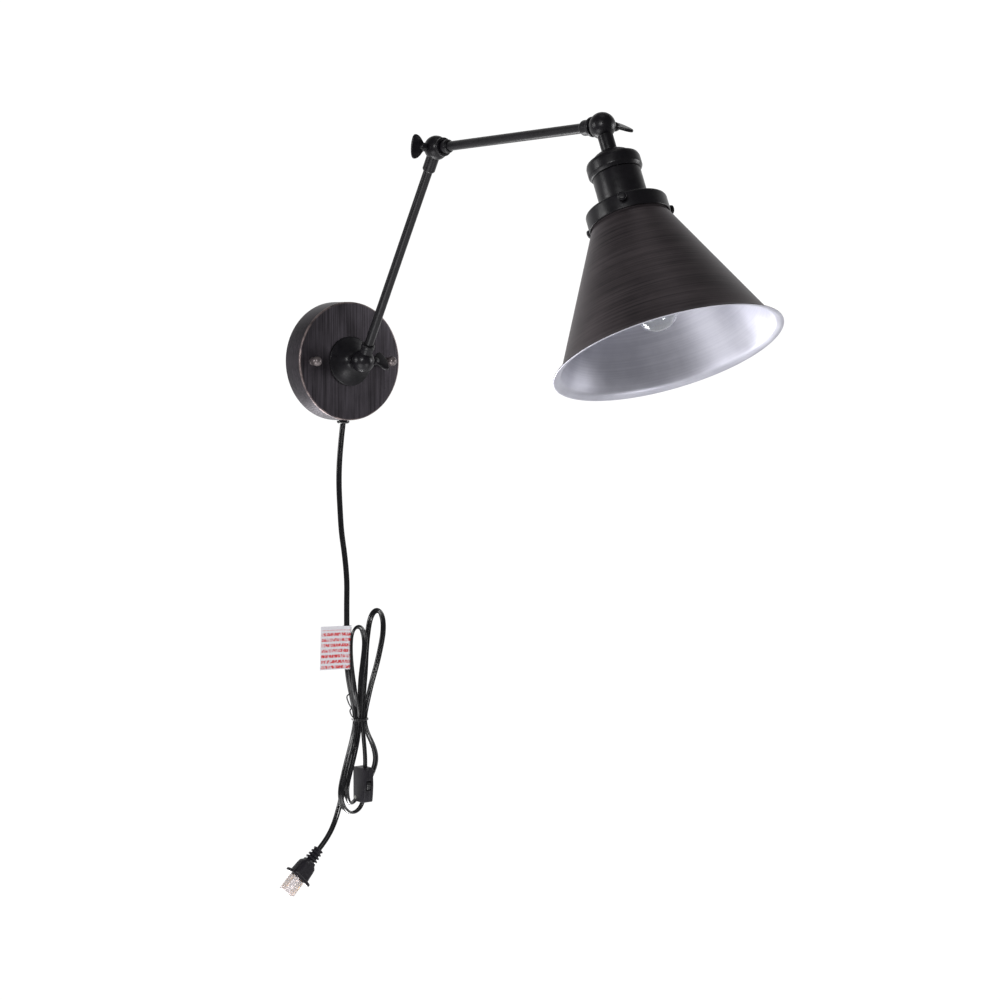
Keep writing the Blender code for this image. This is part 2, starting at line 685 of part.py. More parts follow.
def fitter_ring(head_pivot):
    """The ring that the shade hangs in, screwed on the lampholder, with three tapped holes."""
    hole = HOLDER_RADIUS + 0.0004
    inner = RING_RADIUS - 0.0013
    edge = 0.0026
    profile = [(hole, RING_TOP), (RING_RADIUS - edge, RING_TOP)]
    profile += arc((RING_RADIUS - edge, RING_TOP + edge), edge, -60, 0, 2)
    profile += [(RING_RADIUS, RING_END), (inner, RING_END), (inner, RING_TOP + edge)]
    profile += [(inner - 0.0012, RING_TOP + 0.0013), (hole, RING_TOP + 0.0013)]
    ring = mesh_object("fitter_ring", lathe(profile, 32), head_pivot, black_metal())
    for angle in SHADE_SCREW_ANGLES:
        drill = rod_along_x(0.0018, 0.030, 0.045, 12)
        cut(ring, mesh_object("screw_hole_cutter", drill, head_pivot, None, shade_screw_frame(angle)))


def shade_screw_frame(angle):
    return Matrix.Translation((0.0, 0.0, SHADE_SCREW_STATION)) @ Matrix.Rotation(radians(angle), 4, "Z")


def shade_screws(head_pivot):
    """Three thumbscrews whose tips press on the shade's neck."""
    tip = SHADE_NECK + GAP
    for number, angle in enumerate(SHADE_SCREW_ANGLES, 1):
        profile = [(0.0, tip), (0.0014, tip), (0.0014, 0.0402), (0.0038, 0.0404), (0.0038, 0.0424)]
        profile += [(0.0024, 0.0434), (0.0, 0.0437)]
        turn = Matrix.Rotation(pi / 2, 4, "Y")
        place = shade_screw_frame(angle) @ turn
        mesh_object(f"shade_screw_{number}", lathe(profile, 14), head_pivot, black_metal(), place)


def shade(head_pivot):
    """A spun cone with a neck that fits inside the ring and a flared lip."""
    top = 0.0800
    wall = SHEET
    outer = [(SHADE_NECK, top), (SHADE_NECK, 0.0932), SHADE_CONE_TOP, SHADE_CONE_END]
    outer += [(0.0922, 0.2100), (0.0950, 0.2124), SHADE_LIP]
    inner = [(0.0992, 0.2148), (0.0944, 0.2134), (0.0911, 0.2106), (SHADE_CONE_END[0] - wall, 0.2074)]
    inner += [(SHADE_CONE_TOP[0] - wall, 0.0954), (SHADE_NECK - wall, 0.0938), (SHADE_NECK - wall, top)]
    mesh_object("shade", lathe(outer + inner, FINE_SEGMENTS), head_pivot, shade_metal())


def bulb(head_pivot):
    """A clear tubular bulb: envelope open at its neck, screw base, contact, stem and filament."""
    tip_centre = BULB_TIP - BULB_RADIUS
    wall = 0.0008
    outside = [(0.0118, 0.0905), (0.0118, 0.0955), (0.0140, 0.1030)]
    outside += [(0.0178, 0.1130), (BULB_RADIUS, 0.1220)]
    outside += arc((0.0, tip_centre), BULB_RADIUS, 0, 90, 4)[:-1] + [(0.0, BULB_TIP)]
    inside = [(0.0, BULB_TIP - wall)] + arc((0.0, tip_centre), BULB_RADIUS - wall, 90, 0, 4)[1:]
    inside += [(BULB_RADIUS - wall, 0.1222), (0.0170, 0.1133), (0.0132, 0.1034)]
    inside += [(0.0110, 0.0957), (0.0110, 0.0905)]
    mesh_object("bulb_glass", closed_lathe(outside + inside, TUBE_SEGMENTS), head_pivot, clear_glass())
    base = [(0.0070, 0.0664), (0.0110, 0.0668), (0.0129, 0.0690), (0.0129, 0.0940), (0.0122, 0.0940)]
    base += [(0.0122, 0.0695), (0.0070, 0.0672)]
    mesh_object("bulb_base", lathe(base, TUBE_SEGMENTS), head_pivot, brass())
    contact = [(0.0, 0.0652), (0.0050, 0.0660), (0.0064, 0.0666), (0.0064, 0.0672), (0.0, 0.0672)]
    mesh_object("bulb_contact", lathe(contact, 12), head_pivot, brass())
    stem = [(0.0, 0.0905), (0.0098, 0.0905), (0.0060, 0.0965)]
    stem += [(0.0028, 0.1060), (0.0028, 0.1180), (0.0, 0.1180)]
    mesh_object("bulb_stem", lathe(stem, 12), head_pivot, clear_glass())
    zigzag = []
    for i in range(FILAMENT_LEGS + 1):
        angle = 2 * pi * i / (FILAMENT_LEGS + 1)
        station = FILAMENT_SPAN[i % 2]
        zigzag.append((FILAMENT_RADIUS * cos(angle), FILAMENT_RADIUS * sin(angle), station))
    tube("bulb_filament", zigzag, FILAMENT_WIRE, head_pivot, filament_wire())


# cord


def hank():
    """The tied hank as one solid, with a pocket where the switch hangs."""
    outline = [(p.x, p.z) for p in smooth_curve([(x, 0.0, z) for x, z in HANK_OUTLINE], 0.008)]
    shape = prism(outline, -HANK_DEPTH / 2, HANK_DEPTH / 2)
    place = Matrix.Translation((0.0, HANK_PLANE, 0.0)) @ Matrix.Rotation(pi / 2, 4, "X")
    solid = mesh_object("cord_hank", shape, None, black_vinyl(), place)
    margin = 0.0013
    low = SWITCH_CENTRE - SWITCH_HALF - Vector((margin, 0.01, margin))
    high = SWITCH_CENTRE + SWITCH_HALF + Vector((0.03, 0.01, margin))
    cut(solid, mesh_object("switch_pocket_cutter", block(low, high), None, None))


def block(low, high):
    shape = bmesh.new()
    bmesh.ops.create_cube(shape, size=1.0)
    size = high - low
    shape.transform(Matrix.Translation((low + high) / 2) @ Matrix.Diagonal((*size, 1.0)))
    return shape


def free_cord():
    spacing = CORD_STEP * 2 * CORD_RADIUS
    tube("cord_drop", smooth_curve(DROP_ROUTE, spacing), CORD_RADIUS, None, black_vinyl())
    tube("cord_tail", smooth_curve(TAIL_ROUTE, spacing), CORD_RADIUS, None, black_vinyl())


def cord_tie():
    """The twist tie round the hank's waist."""
    centre = Vector((0.0164, HANK_PLANE, TIE_HEIGHT))
    half_x, half_y, half_z = TIE_HALF_WIDTH, HANK_DEPTH / 2 + 0.0007, 0.0012
    place = Matrix.Translation(centre)
    outer = prism(rounded_rectangle(half_x + 0.0008, half_y + 0.0008, 0.0012), -half_z, half_z)
    band = mesh_object("cord_tie", outer, None, black_vinyl(), place)
    inner = prism(rounded_rectangle(half_x, half_y, 0.0003, 1), -2 * half_z, 2 * half_z)
    cut(band, mesh_object("tie_cutter", inner, None, None, place))


def cord_tag():
    """The paper tag that hangs beside the cord."""
    low = Vector((-0.0352, HANK_PLANE - 0.0003, -0.3150))
    high = Vector((-0.0036, HANK_PLANE + 0.0003, -0.2700))
    mesh_object("cord_tag", block(low, high), None, tag_paper())


def inline_switch():
    """A two-part case clamped on the cord, with a thumb wheel in a slot of its narrow face."""
    centre = SWITCH_CENTRE
    turn = Matrix.Rotation(pi / 2, 4, "Y")
    wheel_place = Matrix.Translation(centre - Vector((0.0, WHEEL_SHIFT, 0.0))) @ turn
    rivet_offset = Vector((0.0, RIVET_SHIFT[0], RIVET_SHIFT[1]))
    rivet_place = Matrix.Translation(centre + rivet_offset)
    for side, word in ((-1, "left"), (1, "right")):
        outline = rounded_rectangle(SWITCH_HALF.z, SWITCH_HALF.y, 0.0025)
        near, far = sorted((side * GAP / 2, side * SWITCH_HALF.x))
        place = Matrix.Translation(centre) @ turn
        case = mesh_object("switch_case_" + word, prism(outline, near, far), None, black_vinyl(), place)
        room = WHEEL_HALF_WIDTH + GAP
        cavity = [(0.0, -room), (WHEEL_RADIUS + GAP, -room), (WHEEL_RADIUS + GAP, room), (0.0, room)]
        cut(case, mesh_object("wheel_cavity_" + word, lathe(cavity, 24), None, None, wheel_place))
        hole = rod_along_x(0.0015, -0.010, 0.010, 10)
        cut(case, mesh_object("rivet_hole_" + word, hole, None, None, rivet_place))
    rivet = rod_along_x(0.0012, -SWITCH_HALF.x, SWITCH_HALF.x, 10)
    mesh_object("switch_rivet", rivet, None, zinc_steel(), rivet_place)
    width = WHEEL_HALF_WIDTH
    rim = WHEEL_RADIUS
    profile = [(0.0, -width), (rim - 0.0004, -width), (rim, -width + 0.0004)]
    profile += [(rim, width - 0.0004), (rim - 0.0004, width), (0.0, width)]
    wheel = mesh_object("switch_wheel", lathe(profile, 24), None, black_vinyl(), turn)
    wheel.location = centre - Vector((0.0, WHEEL_SHIFT, 0.0))


def plug():
    """The moulded plug with its ribbed strain relief, two flat blades and a clear cover over them."""
    place = Matrix.Translation(PLUG_START) @ Matrix.Rotation(pi + PLUG_TILT, 4, "Y")
    sections = []
    for rib in range(4):
        start = RIB_PITCH * rib
        wide = 0.0056 + 0.0004 * rib
        sections += [(start, wide, wide - 0.0012), (start + 0.0022, wide, wide - 0.0012)]
        sections += [(start + 0.0024, 0.0042, 0.0034), (start + 0.0036, 0.0042, 0.0034)]
    sections += [(0.0154, 0.0062, 0.0054), (0.0178, 0.0068, 0.0057), (0.0202, 0.0092, 0.0063)]
    sections += [(0.0340, 0.0104, 0.0068), (0.0342, *FLANGE_HALF), (FLANGE_FACE - GAP, *FLANGE_HALF)]
    mesh_object("plug_body", loft(sections), None, black_vinyl(), place)
    for side, word in ((-1, "left"), (1, "right")):
        x = side * BLADE_SPACING / 2
        low = Vector((x - BLADE_HALF[0], -BLADE_HALF[1], FLANGE_FACE))
        high = Vector((x + BLADE_HALF[0], BLADE_HALF[1], BLADE_END))
        mesh_object("plug_blade_" + word, block(low, high), None, brass(), place)
    half_x, half_y = COVER_HALF
    outer = prism(rounded_rectangle(half_x, half_y, 0.0016), FLANGE_FACE + 0.0002, COVER_END)
    cover = mesh_object("blade_cover", outer, None, clear_plastic(), place)
    hollow = rounded_rectangle(half_x - COVER_WALL, half_y - COVER_WALL, 0.0009)
    inner = prism(hollow, FLANGE_FACE - 0.0078, COVER_END - COVER_WALL)
    cut(cover, mesh_object("cover_cutter", inner, None, None, place))


def build():
    clear_scene()
    wall_bracket()
    canopy()
    studs_and_cap_nuts()
    base_cone()
    cord_bushing()
    wiring_in_canopy()

    base_pivot = pivot("base_pivot", None, (0.0, -BASE_REACH, 0.0))
    lower_pivot = pivot("lower_pivot", base_pivot, (0.0, 0.0, 0.0), pi / 2 - LOWER_ELEVATION)
    elbow_turn = LOWER_ELEVATION - UPPER_ELEVATION
    elbow_pivot = pivot("elbow_pivot", lower_pivot, (0.0, 0.0, LOWER_ARM), elbow_turn)
    head_turn = pi / 2 + UPPER_ELEVATION - HEAD_TILT
    head_pivot = pivot("head_pivot", elbow_pivot, (0.0, 0.0, UPPER_ARM), head_turn)

    swivel(base_pivot)
    base_swivel_knuckle(base_pivot)
    lower_arm(lower_pivot)
    upper_arm(elbow_pivot)
    head_knuckle(head_pivot)
    socket_cap(head_pivot)
    socket_cup(head_pivot)
    lampholder(head_pivot)
    fitter_ring(head_pivot)
    shade_screws(head_pivot)
    shade(head_pivot)
    bulb(head_pivot)

    wing_screw("base_wing_screw", base_pivot, 1, BASE_WING_TURN)
    wing_screw("elbow_wing_screw", elbow_pivot, -1, ELBOW_WING_TURN - pi / 2)
    wing_screw("head_wing_screw", elbow_pivot, 1, HEAD_WING_TURN - pi / 2, UPPER_ARM)

    hank()
    free_cord()
    cord_tie()
    cord_tag()
    inline_switch()
    plug()


build()
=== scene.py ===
"""Looks of the swing arm wall lamp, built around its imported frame.

Profiles are in millimetres, as (radius, station) points. Everything else is in metres. The wall is the
plane y = 0 and +Z is up. A piece called NODE_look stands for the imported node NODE.
"""

import json
from math import asin, cos, degrees, pi, radians, sin

import bmesh
import bpy
from mathutils import Matrix, Vector


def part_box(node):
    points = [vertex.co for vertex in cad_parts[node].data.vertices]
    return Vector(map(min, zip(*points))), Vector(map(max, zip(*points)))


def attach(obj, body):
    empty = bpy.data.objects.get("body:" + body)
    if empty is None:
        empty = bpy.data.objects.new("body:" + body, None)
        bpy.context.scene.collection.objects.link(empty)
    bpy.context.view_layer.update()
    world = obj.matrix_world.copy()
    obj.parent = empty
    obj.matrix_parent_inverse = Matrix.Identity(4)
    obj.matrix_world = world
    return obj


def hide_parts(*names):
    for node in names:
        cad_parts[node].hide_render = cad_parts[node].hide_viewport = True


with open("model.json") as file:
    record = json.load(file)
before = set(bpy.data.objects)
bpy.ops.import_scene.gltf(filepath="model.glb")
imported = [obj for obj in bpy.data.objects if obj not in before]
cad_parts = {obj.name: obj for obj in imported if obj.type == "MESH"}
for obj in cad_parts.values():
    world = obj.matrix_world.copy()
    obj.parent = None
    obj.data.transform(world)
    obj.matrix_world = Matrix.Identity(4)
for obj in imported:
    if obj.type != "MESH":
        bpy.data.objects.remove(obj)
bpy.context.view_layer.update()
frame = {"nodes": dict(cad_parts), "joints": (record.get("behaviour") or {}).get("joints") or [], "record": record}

MM = 0.001
RECORD = frame["record"]
BODY_OF = {node: body for body, nodes in RECORD["behaviour"]["bodies"].items() for node in nodes}
JOINT_AT = {joint["name"]: Vector(joint["pos_m"]) for joint in frame["joints"]}

FINE = 160  # segments round the canopy and the fitter ring
ROUND = 96
SMALL = 40
SIDEWAYS = Vector((0.31, 0.87, 0.38))


# frames


def along(origin, direction):
    """A frame with +Z along direction, which has no part along X, and its +X along the world's."""
    z = Vector(direction).normalized()
    x = Vector((1.0, 0.0, 0.0))
    return Matrix.Translation(origin) @ Matrix((x, z.cross(x), z)).transposed().to_4x4()


def centre(node):
    low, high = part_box(node)
    return (low + high) / 2


BASE_AT = JOINT_AT["lower_arm_tilt"]
ELBOW_AT = JOINT_AT["elbow_tilt"]
HEAD_AT = JOINT_AT["head_tilt"]
WALL = along((0.0, 0.0, 0.0), (0.0, -1.0, 0.0))
BASE_NECK = along(BASE_AT, (0.0, 1.0, 0.0))
LOWER = along(BASE_AT, ELBOW_AT - BASE_AT)
LOWER_END = along(ELBOW_AT, BASE_AT - ELBOW_AT)
UPPER = along(ELBOW_AT, HEAD_AT - ELBOW_AT)
UPPER_END = along(HEAD_AT, ELBOW_AT - HEAD_AT)
LAMP = along(HEAD_AT, centre("screw_shell") - HEAD_AT)
LOWER_LENGTH = (ELBOW_AT - BASE_AT).length / MM
UPPER_LENGTH = (HEAD_AT - ELBOW_AT).length / MM


# shapes


def rounded(profile, radius, steps=4):
    """The profile with each corner off the axis turned into a curve that starts about radius away."""
    result = []
    count = len(profile)
    closed = all(x > 0 for x, _ in profile)
    for i in range(count):
        corner = Vector(profile[i])
        free_end = not closed and i in (0, count - 1)
        if corner.x == 0 or free_end:
            result.append(tuple(corner))
            continue
        before = Vector(profile[i - 1]) - corner
        after = Vector(profile[(i + 1) % count]) - corner
        reach = min(radius, 0.45 * before.length, 0.45 * after.length)
        start = corner + before.normalized() * reach
        end = corner + after.normalized() * reach
        for k in range(steps + 1):
            t = k / steps
            result.append(tuple(start * (1 - t) ** 2 + corner * 2 * t * (1 - t) + end * t * t))
    return result


def arc(centre_point, radius, start, end, steps):
    """Points on a circle of a profile, from angle start to end in degrees, both included."""
    turns = [radians(start + (end - start) * i / steps) for i in range(steps + 1)]
    return [(centre_point[0] + radius * cos(a), centre_point[1] + radius * sin(a)) for a in turns]


def lathe(profile, segments=ROUND, wave=0.0, teeth=0):
    """A mesh turned about Z from (radius, station) points; wave and teeth ripple it, for a knurl."""
    shape = bmesh.new()
    closed = all(radius > 0 for radius, _ in profile)
    rings = []
    for radius, z in profile:
        if radius > 0:
            ring = []
            for i in range(segments):
                angle = 2 * pi * i / segments
                r = MM * (radius + wave * cos(teeth * angle))
                ring.append(shape.verts.new((r * cos(angle), r * sin(angle), MM * z)))
            rings.append(ring)
        else:
            rings.append([shape.verts.new((0.0, 0.0, MM * z))] * segments)
    pairs = list(zip(rings, rings[1:]))
    if closed:
        pairs.append((rings[-1], rings[0]))
    for low, high in pairs:
        for i in range(segments):
            j = (i + 1) % segments
            corners = list(dict.fromkeys((low[i], low[j], high[j], high[i])))
            if len(corners) > 2:
                shape.faces.new(corners)
    return shape


def catmull_rom(points, steps, closed=False):
    """A smooth curve through points, with steps points for each stretch."""
    points = [Vector(p) for p in points]
    if closed:
        padded = [points[-1]] + points + points[:2]
    else:
        padded = [2 * points[0] - points[1]] + points + [2 * points[-1] - points[-2]]
    result = []
    for a, b, c, d in zip(padded, padded[1:], padded[2:], padded[3:]):
        for i in range(steps):
            t = i / steps
            sharp = (3 * b - a - 3 * c + d) * t**3
            result.append((2 * b + (c - a) * t + (2 * a - 5 * b + 4 * c - d) * t * t + sharp) / 2)
    if not closed:
        result.append(points[-1])
    return result


def even(points, step):
    """The same line with its points about step apart."""
    lengths = [0.0]
    for a, b in zip(points, points[1:]):
        lengths.append(lengths[-1] + (b - a).xyz.length)
    count = max(2, round(lengths[-1] / step))
    result = []
    at = 0
    for k in range(count + 1):
        wanted = lengths[-1] * k / count
        while at < len(points) - 2 and lengths[at + 1] < wanted:
            at += 1
        share = (wanted - lengths[at]) / max(lengths[at + 1] - lengths[at], 1e-9)
        result.append(points[at].lerp(points[at + 1], min(max(share, 0.0), 1.0)))
    return result


def prism(outline, low, high):
    """A mesh of a flat outline in X and Y between two heights, in millimetres."""
    shape = bmesh.new()
    bottom = [shape.verts.new((MM * p[0], MM * p[1], MM * low)) for p in outline]
    top = [shape.verts.new((MM * p[0], MM * p[1], MM * high)) for p in outline]
    shape.faces.new(bottom)
    shape.faces.new(top)
    for i in range(len(outline)):
        j = (i + 1) % len(outline)
        shape.faces.new((bottom[i], bottom[j], top[j], top[i]))
    return shape


def superellipse_point(angle, half_x, half_y, power):
    """A point of an outline between an ellipse, at power 2, and a rectangle."""
    c, s = cos(angle), sin(angle)
    x = half_x * abs(c) ** (2 / power) * (1 if c >= 0 else -1)
    y = half_y * abs(s) ** (2 / power) * (1 if s >= 0 else -1)
    return x, y


def superellipse(half_x, half_y, power, count=48):
    return [superellipse_point(2 * pi * i / count, half_x, half_y, power) for i in range(count)]


def loft(sections):
    """A mesh through superellipses (station, half_x, half_y, power), capped at both ends."""
    shape = bmesh.new()
    rings = []
    for z, half_x, half_y, power in sections:
        outline = superellipse(half_x, half_y, power)
        rings.append([shape.verts.new((MM * x, MM * y, MM * z)) for x, y in outline])
    for low, high in zip(rings, rings[1:]):
        for i in range(len(low)):
            j = (i + 1) % len(low)
            shape.faces.new((low[i], low[j], high[j], high[i]))
    shape.faces.new(rings[0])
    shape.faces.new(rings[-1])
    return shape


def sweep(path, outline, wide):
    """A mesh of a closed outline swept along a path; wide is the outline's X axis at each point."""
    shape = bmesh.new()
    rings = []
    for i, point in enumerate(path):
        tangent = (path[min(i + 1, len(path) - 1)] - path[max(i - 1, 0)]).normalized()
        across = wide[i] - tangent * wide[i].dot(tangent)
        across.normalize()
        up = tangent.cross(across)
        rings.append([shape.verts.new(point + across * x + up * y) for x, y in outline])
    for low, high in zip(rings, rings[1:]):
        for i in range(len(outline)):
            j = (i + 1) % len(outline)
            shape.faces.new((low[i], low[j], high[j], high[i]))
    shape.faces.new(rings[0])
    shape.faces.new(rings[-1])
    return shape


def circle(radius, count=12):
    return superellipse(radius, radius, 2, count)


def strand(path, radius, count=12):
    """A round wire along a path in metres, none of whose parts runs along SIDEWAYS."""
    return sweep(path, circle(radius, count), [SIDEWAYS] * len(path))


def wire(points, radius, step=0.0012):
    """A smooth round wire through points in metres."""
    return strand(even(catmull_rom(points, 12), step), radius)


def rod_x(radius, start, end, segments=SMALL):
    """A round rod along X, in millimetres."""
    shape = lathe(rounded([(0.0, start), (radius, start), (radius, end), (0.0, end)], 0.25), segments)
    shape.transform(Matrix.Rotation(pi / 2, 4, "Y"))
    return shape


def mesh_of(name, shape):
    shape.normal_update()
    bmesh.ops.recalc_face_normals(shape, faces=shape.faces)
    mesh = bpy.data.meshes.new(name)
    shape.to_mesh(mesh)
    shape.free()
    return mesh


def shaped(name, shape, tools=(), bevel=0.0):
    """An object from a mesh, after Booleans with (operation, shape) tools and a bevel in millimetres."""
    thing = bpy.data.objects.new(name, mesh_of(name, shape))
    bpy.context.scene.collection.objects.link(thing)
    helpers = []
    for operation, tool in tools:
        helper = bpy.data.objects.new(name + "_tool", mesh_of(name + "_tool", tool))
        bpy.context.scene.collection.objects.link(helper)
        modifier = thing.modifiers.new("carve", "BOOLEAN")
        modifier.operation = operation
        modifier.solver = "EXACT"
        modifier.object = helper
        helpers.append(helper)
    if bevel:
        modifier = thing.modifiers.new("edges", "BEVEL")
        modifier.width = bevel * MM
        modifier.segments = 3
        modifier.limit_method = "ANGLE"
        modifier.angle_limit = radians(50)
    if thing.modifiers:
        graph = bpy.context.evaluated_depsgraph_get()
        finished = bpy.data.meshes.new_from_object(thing.evaluated_get(graph))
        thing.modifiers.clear()
        thing.data = finished
    for helper in helpers:
        bpy.data.objects.remove(helper)
    thing.data.shade_smooth()
    thing.data.set_sharp_from_angle(angle=radians(38))
    return thing


def dress(node, thing, place, material, also=()):
    """The piece stands for a node: it takes the node's body and gets a material."""
    thing.name = node + "_look"
    thing.matrix_world = place
    thing.data.materials.clear()
    thing.data.materials.append(material)
    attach(thing, BODY_OF[node])
    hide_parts(node, *also)
    return thing


# materials


def linear(*levels):
    """A linear colour from display levels of 0 to 255."""
    return [(v / 255 / 12.92 if v <= 10 else ((v / 255 + 0.055) / 1.055) ** 2.4) for v in levels] + [1.0]


class Paint:
    """A Principled material with helpers that add procedural nodes to it."""

    def __init__(self, name, **sockets):
        self.material = bpy.data.materials.new(name)
        self.material.use_nodes = True
        self.tree = self.material.node_tree
        self.shader = self.tree.nodes["Principled BSDF"]
        for socket, value in sockets.items():
            self.shader.inputs[socket.replace("_", " ")].default_value = value

    def add(self, kind, inputs, **settings):
        node = self.tree.nodes.new(kind)
        for name, value in settings.items():
            setattr(node, name, value)
        for socket, value in inputs.items():
            if isinstance(value, bpy.types.NodeSocket):
                self.tree.links.new(value, node.inputs[socket])
            else:
                node.inputs[socket].default_value = value
        return node

    def place(self):
        return self.add("ShaderNodeTexCoord", {}).outputs["Object"]

    def grain(self, scale, detail=4.0, seed=0.0):
        """Noise over the piece; scale is cycles per metre along its own X, Y and Z."""
        shift = (seed, seed * 0.7, seed * 1.3)
        spot = self.add("ShaderNodeMapping", {"Vector": self.place(), "Scale": scale, "Location": shift})
        noise = {"Vector": spot.outputs[0], "Scale": 1.0, "Detail": detail, "Roughness": 0.6}
        return self.add("ShaderNodeTexNoise", noise).outputs["Fac"]

    def ramp(self, factor, dark, light, low=0.35, high=0.65):
        node = self.add("ShaderNodeValToRGB", {"Fac": factor})
        node.color_ramp.elements[0].position = low
        node.color_ramp.elements[0].color = dark
        node.color_ramp.elements[1].position = high
        node.color_ramp.elements[1].color = light
        return node.outputs["Color"]

    def span(self, value, low, high, to_low=0.0, to_high=1.0):
        inputs = {"Value": value, "From Min": low, "From Max": high, "To Min": to_low, "To Max": to_high}
        return self.add("ShaderNodeMapRange", inputs).outputs["Result"]

    def math(self, operation, *values):
        return self.add("ShaderNodeMath", dict(enumerate(values)), operation=operation).outputs[0]

    def mix(self, factor, a, b):
        node = self.add("ShaderNodeMix", {0: factor, 6: a, 7: b}, data_type="RGBA")
        return node.outputs[2]

    def colour(self, socket):
        self.tree.links.new(socket, self.shader.inputs["Base Color"])

    def roughness(self, factor, low, high):
        self.tree.links.new(self.span(factor, 0.3, 0.7, low, high), self.shader.inputs["Roughness"])

    def bump(self, height, distance, strength=1.0):
        inputs = {"Height": height, "Distance": distance, "Strength": strength}
        node = self.add("ShaderNodeBump", inputs)
        self.tree.links.new(node.outputs["Normal"], self.shader.inputs["Normal"])


def satin_black():
    """Black powder coat: a fine orange peel and slightly uneven gloss."""
    paint = Paint("satin_black", Metallic=0.1, Specular_IOR_Level=0.4)
    cloud = paint.grain((60, 60, 60), 3)
    paint.colour(paint.ramp(cloud, linear(19, 18, 22), linear(28, 26, 31)))
    paint.roughness(paint.grain((240, 240, 240), 3, 3.0), 0.27, 0.4)
    paint.bump(paint.grain((1400, 1400, 1400), 2, 7.0), 0.00004, 0.5)
    return paint.material


def gunmetal():
    """Dark brushed metal: streaks along the piece's own Y, with a painted highlight on the front rim."""
    paint = Paint("gunmetal", Metallic=0.85)
    streak = paint.grain((900, 14, 900), 5)
    blotch = paint.grain((45, 18, 45), 3, 4.0)
    mixed = paint.math("ADD", paint.math("MULTIPLY", streak, 0.65), paint.math("MULTIPLY", blotch, 0.35))
    body = paint.ramp(mixed, linear(46, 43, 47), linear(88, 83, 90), 0.36, 0.64)
    split = paint.add("ShaderNodeSeparateXYZ", {"Vector": paint.place()})
    squares = [paint.math("POWER", split.outputs[i], 2.0) for i in (0, 1)]
    radius = paint.math("SQRT", paint.math("ADD", *squares))
    # painted highlight: the front rim's colour is mixed towards a pale tone, broken up by noise
    on_rim = paint.span(radius, 0.0583, 0.0596)
    at_front = paint.span(split.outputs[2], 0.0245, 0.0256)
    highlight_breakup = paint.span(paint.grain((90, 90, 90), 3, 9.0), 0.38, 0.58, 0.15, 0.9)
    rim = paint.math("MULTIPLY", paint.math("MULTIPLY", on_rim, at_front), highlight_breakup)
    paint.colour(paint.mix(rim, body, linear(168, 152, 150)))
    paint.roughness(mixed, 0.34, 0.52)
    paint.bump(streak, 0.00002, 0.6)
    return paint.material


def nut_metal():
    paint = Paint("nut_metal", Metallic=0.6)
    cloud = paint.grain((150, 150, 150), 3)
    paint.colour(paint.ramp(cloud, linear(112, 104, 106), linear(136, 127, 128)))
    paint.roughness(paint.grain((200, 200, 200), 2, 2.0), 0.28, 0.4)
    return paint.material


def shade_outside():
    """Dark brushed steel, brushed round the cone."""
    paint = Paint("shade_outside", Metallic=0.6, Specular_IOR_Level=0.35)
    line = paint.grain((9, 9, 1500), 4)
    cloud = paint.grain((16, 16, 30), 3, 5.0)
    mixed = paint.math("ADD", paint.math("MULTIPLY", line, 0.6), paint.math("MULTIPLY", cloud, 0.4))
    paint.colour(paint.ramp(mixed, linear(58, 53, 56), linear(102, 94, 97), 0.36, 0.64))
    paint.roughness(mixed, 0.38, 0.52)
    paint.bump(line, 0.00003, 0.5)
    return paint.material


def shade_inside():
    """Satin silver paint, with the spinning marks showing through."""
    paint = Paint("shade_inside", Metallic=0.85)
    line = paint.grain((7, 7, 900), 3)
    cloud = paint.grain((30, 30, 30), 3, 5.0)
    mixed = paint.math("ADD", paint.math("MULTIPLY", line, 0.4), paint.math("MULTIPLY", cloud, 0.6))
    paint.colour(paint.ramp(mixed, linear(192, 192, 204), linear(214, 214, 224)))
    paint.roughness(mixed, 0.42, 0.52)
    paint.bump(line, 0.00002, 0.4)
    return paint.material


def plain_metal(name, dark, light, scale, rough, stretch=(1, 1, 1)):
    """A bare metal whose colour and gloss drift with one noise."""
    paint = Paint(name, Metallic=1.0)
    spread = paint.grain(tuple(scale * s for s in stretch), 4)
    paint.colour(paint.ramp(spread, linear(*dark), linear(*light)))
    paint.roughness(spread, *rough)
    paint.bump(spread, 0.00001, 0.5)
    return paint.material


def plastic(name, dark, light, rough, peel=0.00002, **sockets):
    """A moulded plastic with a faint texture."""
    paint = Paint(name, **sockets)
    cloud = paint.grain((90, 90, 90), 3)
    paint.colour(paint.ramp(cloud, linear(*dark), linear(*light)))
    paint.roughness(paint.grain((350, 350, 350), 3, 3.0), *rough)
    if peel:
        paint.bump(paint.grain((1800, 1800, 1800), 2, 5.0), peel, 0.5)
    return paint.material


def clear(name, tint, rough, ior, haze, through=1.0):
    """A see-through material with a faint unevenness in its gloss."""
    paint = Paint(name, IOR=ior, Transmission_Weight=through)
    cloud = paint.grain((60, 60, 60), 2)
    light = linear(*tint)
    paint.colour(paint.ramp(cloud, [haze * v for v in light[:3]] + [1.0], light))
    paint.roughness(cloud, *rough)
    return paint.material


TAG_ROW = 0.0056  # from each bar of the tag to the next


